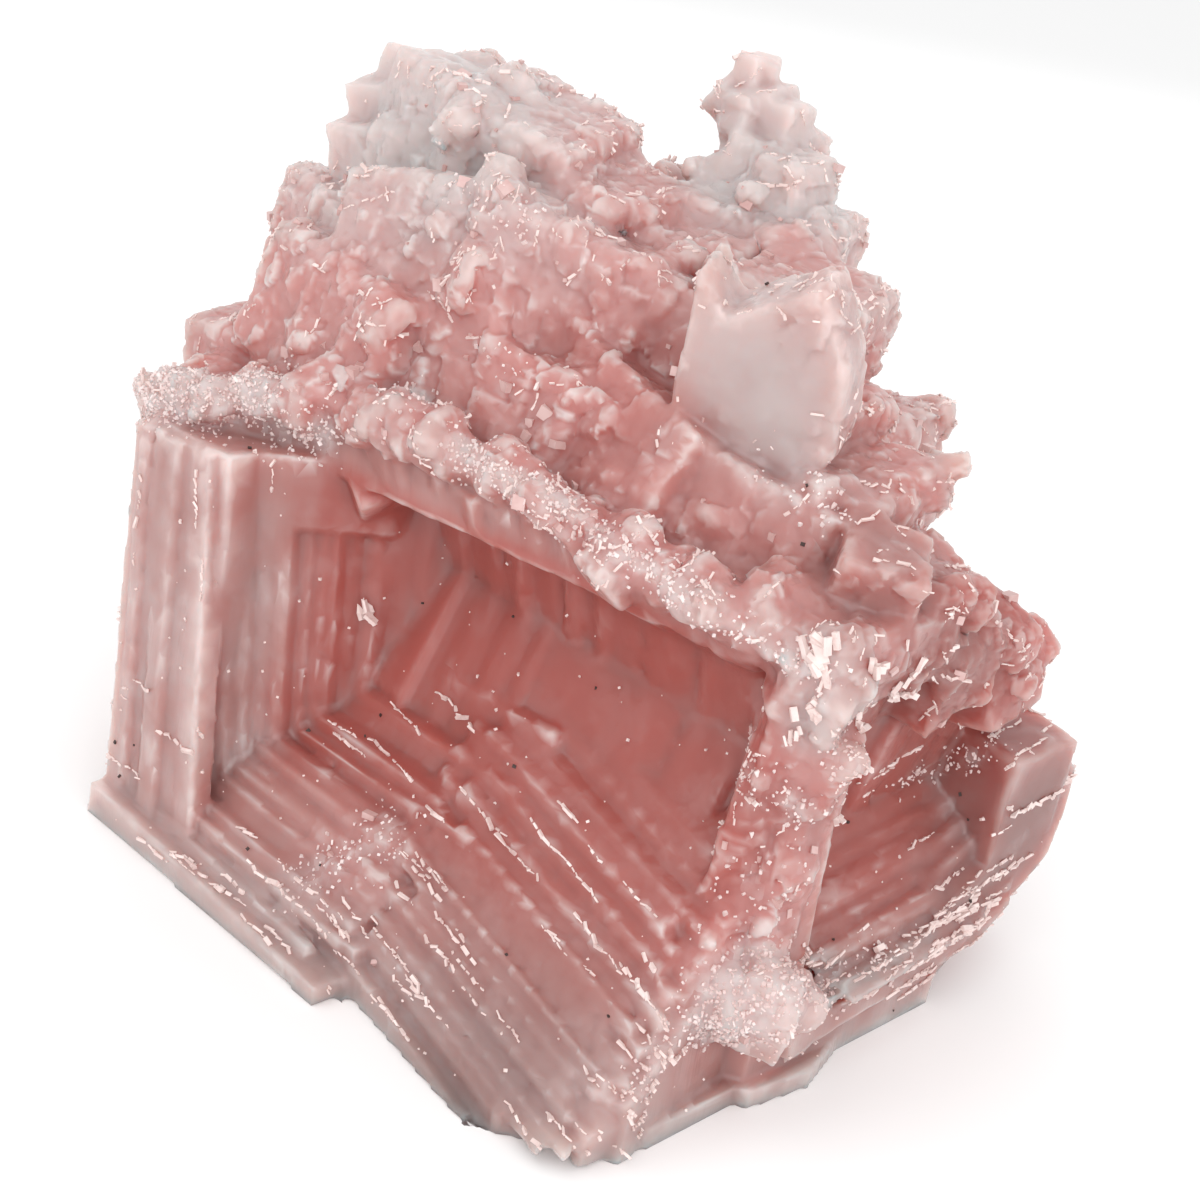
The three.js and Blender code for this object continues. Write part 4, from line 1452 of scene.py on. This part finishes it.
@dataclass
class SaltStreaks:
    """Broken bright streaks of salt: short flakes in rows on the body's surface, partly real salt and
    partly glints painted as bright colour.

    Args:
        name: the piece's name.
        rows: how many rows.
        flakes: least and most flakes in a row.
        length: least and most length of a flake, in layout millimetres.
        seed: seed of the draw.
        width: a flake's width as a share of its length.
        fans: growth ridges that the rows follow.
    """

    name: str
    rows: int
    flakes: tuple[int, int]
    length: tuple[float, float]
    seed: int
    width: float = 0.5
    fans: tuple[RidgeFan, ...] = ()

    def starts(self, source: SurfacePoints, layout: Layout, crest: "CrestFinder") -> list:
        """Where rows start, and which way they run."""
        points, normals = source.draw(60000, layout)
        keep = source.random.random(len(points)) < crest.share(points, normals)
        points, normals = points[keep], normals[keep]
        found = []
        for point, normal in zip(points, normals):
            if len(found) == self.rows:
                break
            along = crest.run(point, normal, self.fans, source.random)
            if along is not None:
                found.append((point, along))
        return found

    def build(self, body: bpy.types.Mesh, surface: BVHTree, layout: Layout, crest: "CrestFinder",
              grower: CrystalGrower, finish: bpy.types.Material) -> bpy.types.Object:
        """Lays the rows as one piece.

        Args:
            body: the surface they lie on.
            surface: the same surface for finding nearest points, in layout millimetres.
            layout: converts to metres.
            crest: says where rows lie and which way they run.
            grower: the Geometry Nodes grower.
            finish: their material.

        Returns:
            The finished piece.
        """
        source = SurfacePoints(body, self.seed)
        random = source.random
        points, edges, turns = [], [], []
        for start, along in self.starts(source, layout, crest):
            place = start.copy()
            strength = random.uniform(0.5, 1)
            for _ in range(random.integers(*self.flakes)):
                size = random.uniform(*self.length) * strength
                jitter = random.uniform(-0.35, 0.35, 3)
                place = place + along * size * random.uniform(0.6, 1.5) + jitter * size * 0.5
                spot, normal, _, away = surface.find_nearest(Vector(place))
                if spot is None or away > 1.2:
                    break
                place = np.array(spot)
                points.append(place + np.array(normal) * size * 0.06)
                edges.append(size)
                turns.append(turn_along(along + jitter * 1.2, random.uniform(0, 6.3)))
        shape = (1, self.width, self.width * 0.7)
        points, edges, turns = (np.array(values) for values in (points, edges, turns))
        mesh = grower.grow(self.name, points, edges, turns, layout, finish, self.seed, shape)
        return salt_piece(self.name, mesh)


class CrestFinder:
    """Finds the crests of steps and rough crystals on the body."""

    def __init__(self, bulk: SaltBulk, zone: Zone) -> None:
        """Keeps the salt grid, blurred to the size of a step.

        Args:
            bulk: the salt grid.
            zone: which kind of surface counts.
        """
        self.bulk = bulk
        self.near = bulk.blurred(1.5)
        self.zone = zone

    def share(self, points: np.ndarray, normals: np.ndarray) -> np.ndarray:
        """How likely a row is to start at each point."""
        convex = smooth(self.bulk.sample(self.near, points), 0.5, 0.34)
        rough = rough_share(points)
        above_foot = smooth(points[:, 2], 0.8, 2)
        if self.zone is Zone.ROUGH:
            return rough * convex * above_foot * 0.5
        return (1 - rough) * convex * above_foot * (0.08 + 0.92 * funnel_edge(points))

    def run(self, point: np.ndarray, normal: np.ndarray, fans: tuple[RidgeFan, ...],
            random: np.random.Generator) -> np.ndarray | None:
        """Which way a row runs from a point."""
        if self.zone is Zone.ROUGH:
            free = random.normal(0, 1, 3)
            free -= normal * (free @ normal)
            return free / np.linalg.norm(free)
        for fan in fans:
            start, end = fan.line(0.5)
            low = np.minimum(np.array(fan.first), np.array(fan.last)).min(0) - 2.5
            high = np.maximum(np.array(fan.first), np.array(fan.last)).max(0) + 3.5
            if ((point > low) & (point < high)).all():
                return fan.direction * random.choice((-1, 1))
        return None


def funnel_edge(points: np.ndarray) -> np.ndarray:
    """How near each point is to the places where salt streaks gather on the growth steps."""
    total = np.zeros(len(points))
    for middle, reach in STREAK_SPOTS:
        total += nearness(points, TintSpot(middle, reach))
    return np.clip(total, 0, 1)


STREAK_SPOTS = (
    ((-24, -11, 4), 8), ((-31, -11, 6), 4), ((-9, 1, 20), 5), ((-8, -8, 6), 6), ((-18, -6, 9), 6),
    ((-4, 14, 9), 8), ((-2, 22, 8), 5), ((-6, 24, 16), 4), ((-38, -12, 3), 5),
)


@dataclass
class Sprinkle:
    """Small crystals sprinkled on the body's surface.

    Args:
        name: the piece's name.
        zone: which kind of surface they grow on.
        count: how many.
        small: smallest edge, in layout millimetres.
        big: biggest edge.
        bias: above 1, most are small.
        sink: how deep they sit, as a share of the edge.
        loose: share of them that are turned freely.
        seed: seed of the draw.
        proportions: length, width and height as shares of the edge.
    """

    name: str
    zone: Zone
    count: int
    small: float
    big: float
    bias: float = 2.0
    sink: float = 0.1
    loose: float = 1.0
    seed: int = 1
    proportions: Point = (1, 1, 1)

    def share(self, points: np.ndarray, normals: np.ndarray) -> np.ndarray:
        """How likely a crystal is at each point."""
        crust = crust_share(points)
        rough = rough_share(points)
        above_foot = smooth(points[:, 2], 0.4, 1.2)
        if self.zone is Zone.CRUST:
            return np.clip(crust, 0, 1) ** 1.5 * above_foot * (1 - 0.85 * nearness(points, SMOOTH_LUMP))
        if self.zone is Zone.ROUGH:
            return rough * (1 - 0.6 * np.clip(crust, 0, 1)) * above_foot
        return (1 - rough) * above_foot * np.clip(normals[:, 2] + 0.6, 0, 1)

    def build(self, body: bpy.types.Mesh, layout: Layout, grower: CrystalGrower,
              finish: bpy.types.Material) -> bpy.types.Object:
        """Grows the crystals as one piece.

        Args:
            body: the surface they grow on.
            layout: converts to metres.
            grower: the Geometry Nodes grower.
            finish: their material.

        Returns:
            The finished piece.
        """
        source = SurfacePoints(body, self.seed)
        points, normals = source.draw(160000, layout)
        keep = source.random.random(len(points)) < self.share(points, normals)
        points, normals = points[keep][: self.count], normals[keep][: self.count]
        count = len(points)
        edges = self.small + (self.big - self.small) * source.random.random(count) ** self.bias
        free = source.random.random(count) < self.loose
        turns = source.random.uniform(-1, 1, (count, 3)) * np.where(free, FREE_TURN, 0.22)[:, None]
        points = points + normals * (edges * (0.5 - self.sink) * 0.5)[:, None]
        points[:, 2] = np.maximum(points[:, 2], edges)
        mesh = grower.grow(self.name, points, edges, turns, layout, finish, self.seed,
                           self.proportions)
        return salt_piece(self.name, mesh)


@dataclass
class PlacedSalt:
    """Small bright crystals at chosen places: broken skeletal edges, partly glints painted as bright
    colour, and white chips.

    Args:
        name: the piece's name.
        edges: corner points of each skeletal edge, in layout millimetres.
        chips: middle, half sizes and number of crystals of each chip.
        seed: seed of the draw.
    """

    name: str
    edges: tuple[tuple[Point, ...], ...]
    chips: tuple[tuple[Point, Point, int], ...]
    seed: int

    def build(self, surface: BVHTree, layout: Layout, grower: CrystalGrower,
              finish: bpy.types.Material) -> bpy.types.Object:
        """Lays the crystals as one piece.

        Args:
            surface: the body's skin, in layout millimetres.
            layout: converts to metres.
            grower: the Geometry Nodes grower.
            finish: their material.

        Returns:
            The finished piece.
        """
        random = np.random.default_rng(self.seed)
        points, sizes, turns = [], [], []
        for corners in self.edges:
            for a, b in zip(corners[:-1], corners[1:]):
                a, b = np.array(a, float), np.array(b, float)
                for share in np.arange(0, 1, 0.34 / np.linalg.norm(b - a)):
                    spot, normal, _, _ = surface.find_nearest(Vector(a + (b - a) * share))
                    size = random.uniform(0.4, 1.0)
                    points.append(np.array(spot) + np.array(normal) * 0.14 + random.normal(0, 0.09, 3))
                    sizes.append(size)
                    turns.append(turn_along((b - a) + random.normal(0, 0.3, 3), random.uniform(0, 6.3)))
        for middle, radii, count in self.chips:
            for _ in range(count):
                spread = random.normal(0, 0.5, 3) * np.array(radii)
                points.append(np.array(middle) + spread)
                sizes.append(random.uniform(0.5, 1.1) * max(radii))
                turns.append(random.uniform(-0.6, 0.6, 3) + (0.3, 0.9, 0.2))
        points, sizes, turns = (np.array(values) for values in (points, sizes, turns))
        mesh = grower.grow(self.name, points, sizes, turns, layout, finish, self.seed, (1, 0.42, 0.36))
        return salt_piece(self.name, mesh)


SKELETAL_EDGES = (
    ((1, 1.4, 34), (0.5, 2.6, 31), (0.3, 3.3, 28.8), (-0.4, 6, 29)),
    ((0.6, 8.2, 33), (0, 6.8, 30.9), (-0.4, 8, 28.8), (-0.4, 9.8, 27.8)),
    ((1, 3.4, 33.8), (0.9, 1.6, 34), (1.2, 2, 30.4)),
    ((-0.6, 13, 7.4), (-0.6, 22, 7.6), (-0.6, 28, 8)),
)

WHITE_CHIPS = (
    ((-41.9, -3.4, 20.9), (1.5, 0.4, 0.8), 12),
    ((-0.8, -1.8, 34.6), (1.1, 0.5, 1.5), 14),
    ((0.3, -1.4, 31.6), (0.8, 0.5, 1.7), 14),
    ((-12.4, -11.3, 6.8), (0.4, 0.3, 0.8), 7),
    ((-1.2, -2.2, 29.4), (0.9, 0.5, 0.9), 8),
)


# ---------------------------------------------------------------------------------------- studio


# name, direction and height in degrees, side in metres, watts and colour of each lamp
LAMPS = (
    ("top_left_window", -10, 50, 0.5, 0.6, (1.0, 0.99, 0.98)),
    ("front_soft", 45, 24, 0.4, 1.15),
    ("right_fill", 85, 12, 0.45, 0.5),
    ("back_glow", 215, 35, 0.5, 0.3),
)


@dataclass
class Studio:
    """Pale floor, soft lights and the camera.

    Args:
        layout: places the camera's target.
        azimuth: the camera's direction, in degrees from -Y towards +X.
        elevation: its height, in degrees.
        roll: its turn about its own line of sight, in degrees.
        lens: focal length, in millimetres.
        distance: how far it stands from the target, in layout millimetres.
        target: where it points, in layout millimetres.
        sky: strength of the white world.
    """

    layout: Layout
    azimuth: float = 42.0
    elevation: float = 23.0
    roll: float = 9.5
    lens: float = 60.0
    distance: float = 148.6
    target: Point = (-25.0, 4.2, 27.5)
    sky: float = 0.98

    def back(self, azimuth: float, elevation: float) -> Vector:
        """Direction from the object towards a viewer at those angles."""
        a, e = math.radians(azimuth), math.radians(elevation)
        return Vector((math.sin(a) * math.cos(e), -math.cos(a) * math.cos(e), math.sin(e)))

    def camera(self) -> None:
        """Adds the camera."""
        data = bpy.data.cameras.new("camera")
        data.lens = self.lens
        data.clip_start = 0.005
        camera = bpy.data.objects.new("camera", data)
        bpy.context.scene.collection.objects.link(camera)
        towards = self.back(self.azimuth, self.elevation)
        target = Vector(self.layout.metres(np.array(self.target)))
        camera.location = target + towards * self.distance * self.layout.unit
        camera.rotation_mode = "QUATERNION"
        level = (-towards).to_track_quat("-Z", "Y")
        camera.rotation_quaternion = level @ Quaternion((0, 0, 1), math.radians(self.roll))
        bpy.context.scene.camera = camera

    def lamp(self, name: str, azimuth: float, elevation: float, size: float, power: float,
             colour: Point = (1, 1, 1)) -> None:
        """Adds a soft square lamp that faces the crystal.

        Args:
            name: the lamp's name.
            azimuth: its direction, in degrees.
            elevation: its height, in degrees.
            size: its side, in metres.
            power: its power, in watts.
            colour: its colour.
        """
        data = bpy.data.lights.new(name, "AREA")
        data.size = size
        data.energy = power
        data.color = colour
        lamp = bpy.data.objects.new(name, data)
        bpy.context.scene.collection.objects.link(lamp)
        towards = self.back(azimuth, elevation)
        lamp.location = Vector((0, 0, 0.03)) + towards * 0.55
        lamp.rotation_mode = "QUATERNION"
        lamp.rotation_quaternion = (-towards).to_track_quat("-Z", "Y")

    def build(self, floor_finish: bpy.types.Material) -> None:
        """Adds floor, lights, world and camera."""
        half = 3.0
        mesh = bpy.data.meshes.new("floor")
        corners = [(-half, -half, 0), (half, -half, 0), (half, half, 0), (-half, half, 0)]
        mesh.from_pydata(corners, [], [(0, 1, 2, 3)])
        mesh.materials.append(floor_finish)
        floor = new_object("floor", mesh)
        for name, *settings in LAMPS:
            self.lamp(name, *settings)
        world = bpy.data.worlds.new("studio")
        world.use_nodes = True
        background = world.node_tree.nodes["Background"]
        background.inputs["Color"].default_value = (1, 1, 1, 1)
        background.inputs["Strength"].default_value = self.sky
        bpy.context.scene.world = world
        bpy.context.scene.view_settings.view_transform = "Standard"
        self.camera()


# ---------------------------------------------------------------------------------------- main


LOOSE_FINISHES = (
    LooseSalt("sugary_crust", (0.78, 0.68, 0.665, 1), (0.62, 0.46, 0.44, 1), 0.35),
    # bright flakes: partly real white salt flakes, partly glints painted as bright colour
    LooseSalt("bright_flakes_and_painted_glints", (0.80, 0.67, 0.64, 1), (0.68, 0.52, 0.49, 1), 0.25),
    LooseSalt("pink_cubelets", (0.60, 0.42, 0.40, 1), (0.52, 0.31, 0.29, 1), 0.3),
)
DUST = DullFinish("dark_dust", (0.03, 0.02, 0.018, 1), (0.07, 0.04, 0.035, 1), 3000.0)
FLOOR = DullFinish("pale_floor", (0.93, 0.93, 0.93, 1), (0.925, 0.925, 0.925, 1), 8.0, 0.8)

# the first two are sugary, the third is pink and the last is made of bright flakes
SPRINKLES = (
    Sprinkle("crust_grains", Zone.CRUST, 15000, 0.12, 0.44, 2.4, 0.45, 1.0, 31, (1, 0.6, 0.35)),
    Sprinkle("crust_powder", Zone.CRUST, 15000, 0.1, 0.24, 1.0, 0.4, 1.0, 36),
    Sprinkle("cubelets", Zone.ROUGH, 380, 0.25, 0.9, 2.4, 0.9, 0.4, 32),
    Sprinkle("stray_grains", Zone.STEPS, 420, 0.08, 0.22, 2.5, 0.4, 1.0, 34),
)
DUST_SPECKS = Sprinkle("dust_specks", Zone.STEPS, 64, 0.13, 0.28, 1.0, 0.3, 1.0, 35)


def report(piece: bpy.types.Object) -> None:
    """Logs a piece's size."""
    log.info("%s: %d faces", piece.name, len(piece.data.polygons))


def main() -> None:
    """Builds every piece in order."""
    logging.basicConfig(level=logging.INFO, format="%(name)s: %(message)s")
    layout = Layout(*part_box(NODE))
    groups = SaltGroups.build()
    grower = CrystalGrower()
    salt = SaltBody(layout, grower)
    body = salt.build(MilkySalt().material(groups))
    report(body)
    points = layout.millimetres(vertex_array(body.data))
    triangles = [tuple(face.vertices) for face in body.data.polygons]
    surface = BVHTree.FromPolygons(points.tolist(), triangles)

    sugar, flake, pink = (finish.material(groups) for finish in LOOSE_FINISHES)
    for sprinkle, finish in zip(SPRINKLES, (sugar, sugar, pink, flake), strict=True):
        report(sprinkle.build(body.data, layout, grower, finish))
    steps, rough = CrestFinder(salt.bulk, Zone.STEPS), CrestFinder(salt.bulk, Zone.ROUGH)
    ridge_streaks_and_painted_glints = SaltStreaks("ridge_streaks_and_painted_glints", 200, (2, 12), (0.25, 1.1), 41, 0.32, RIDGE_FANS)
    report(ridge_streaks_and_painted_glints.build(body.data, surface, layout, steps, grower, flake))
    sparkles = SaltStreaks("rough_flakes_and_painted_glints", 1150, (1, 6), (0.15, 0.85), 42, 0.32)
    report(sparkles.build(body.data, surface, layout, rough, grower, flake))
    placed = PlacedSalt("skeletal_edges_and_chips", SKELETAL_EDGES, WHITE_CHIPS, 51)
    report(placed.build(surface, layout, grower, flake))
    report(DUST_SPECKS.build(body.data, layout, grower, DUST.material()))
    Studio(layout).build(FLOOR.material())


if __name__ == "__main__":
    main()
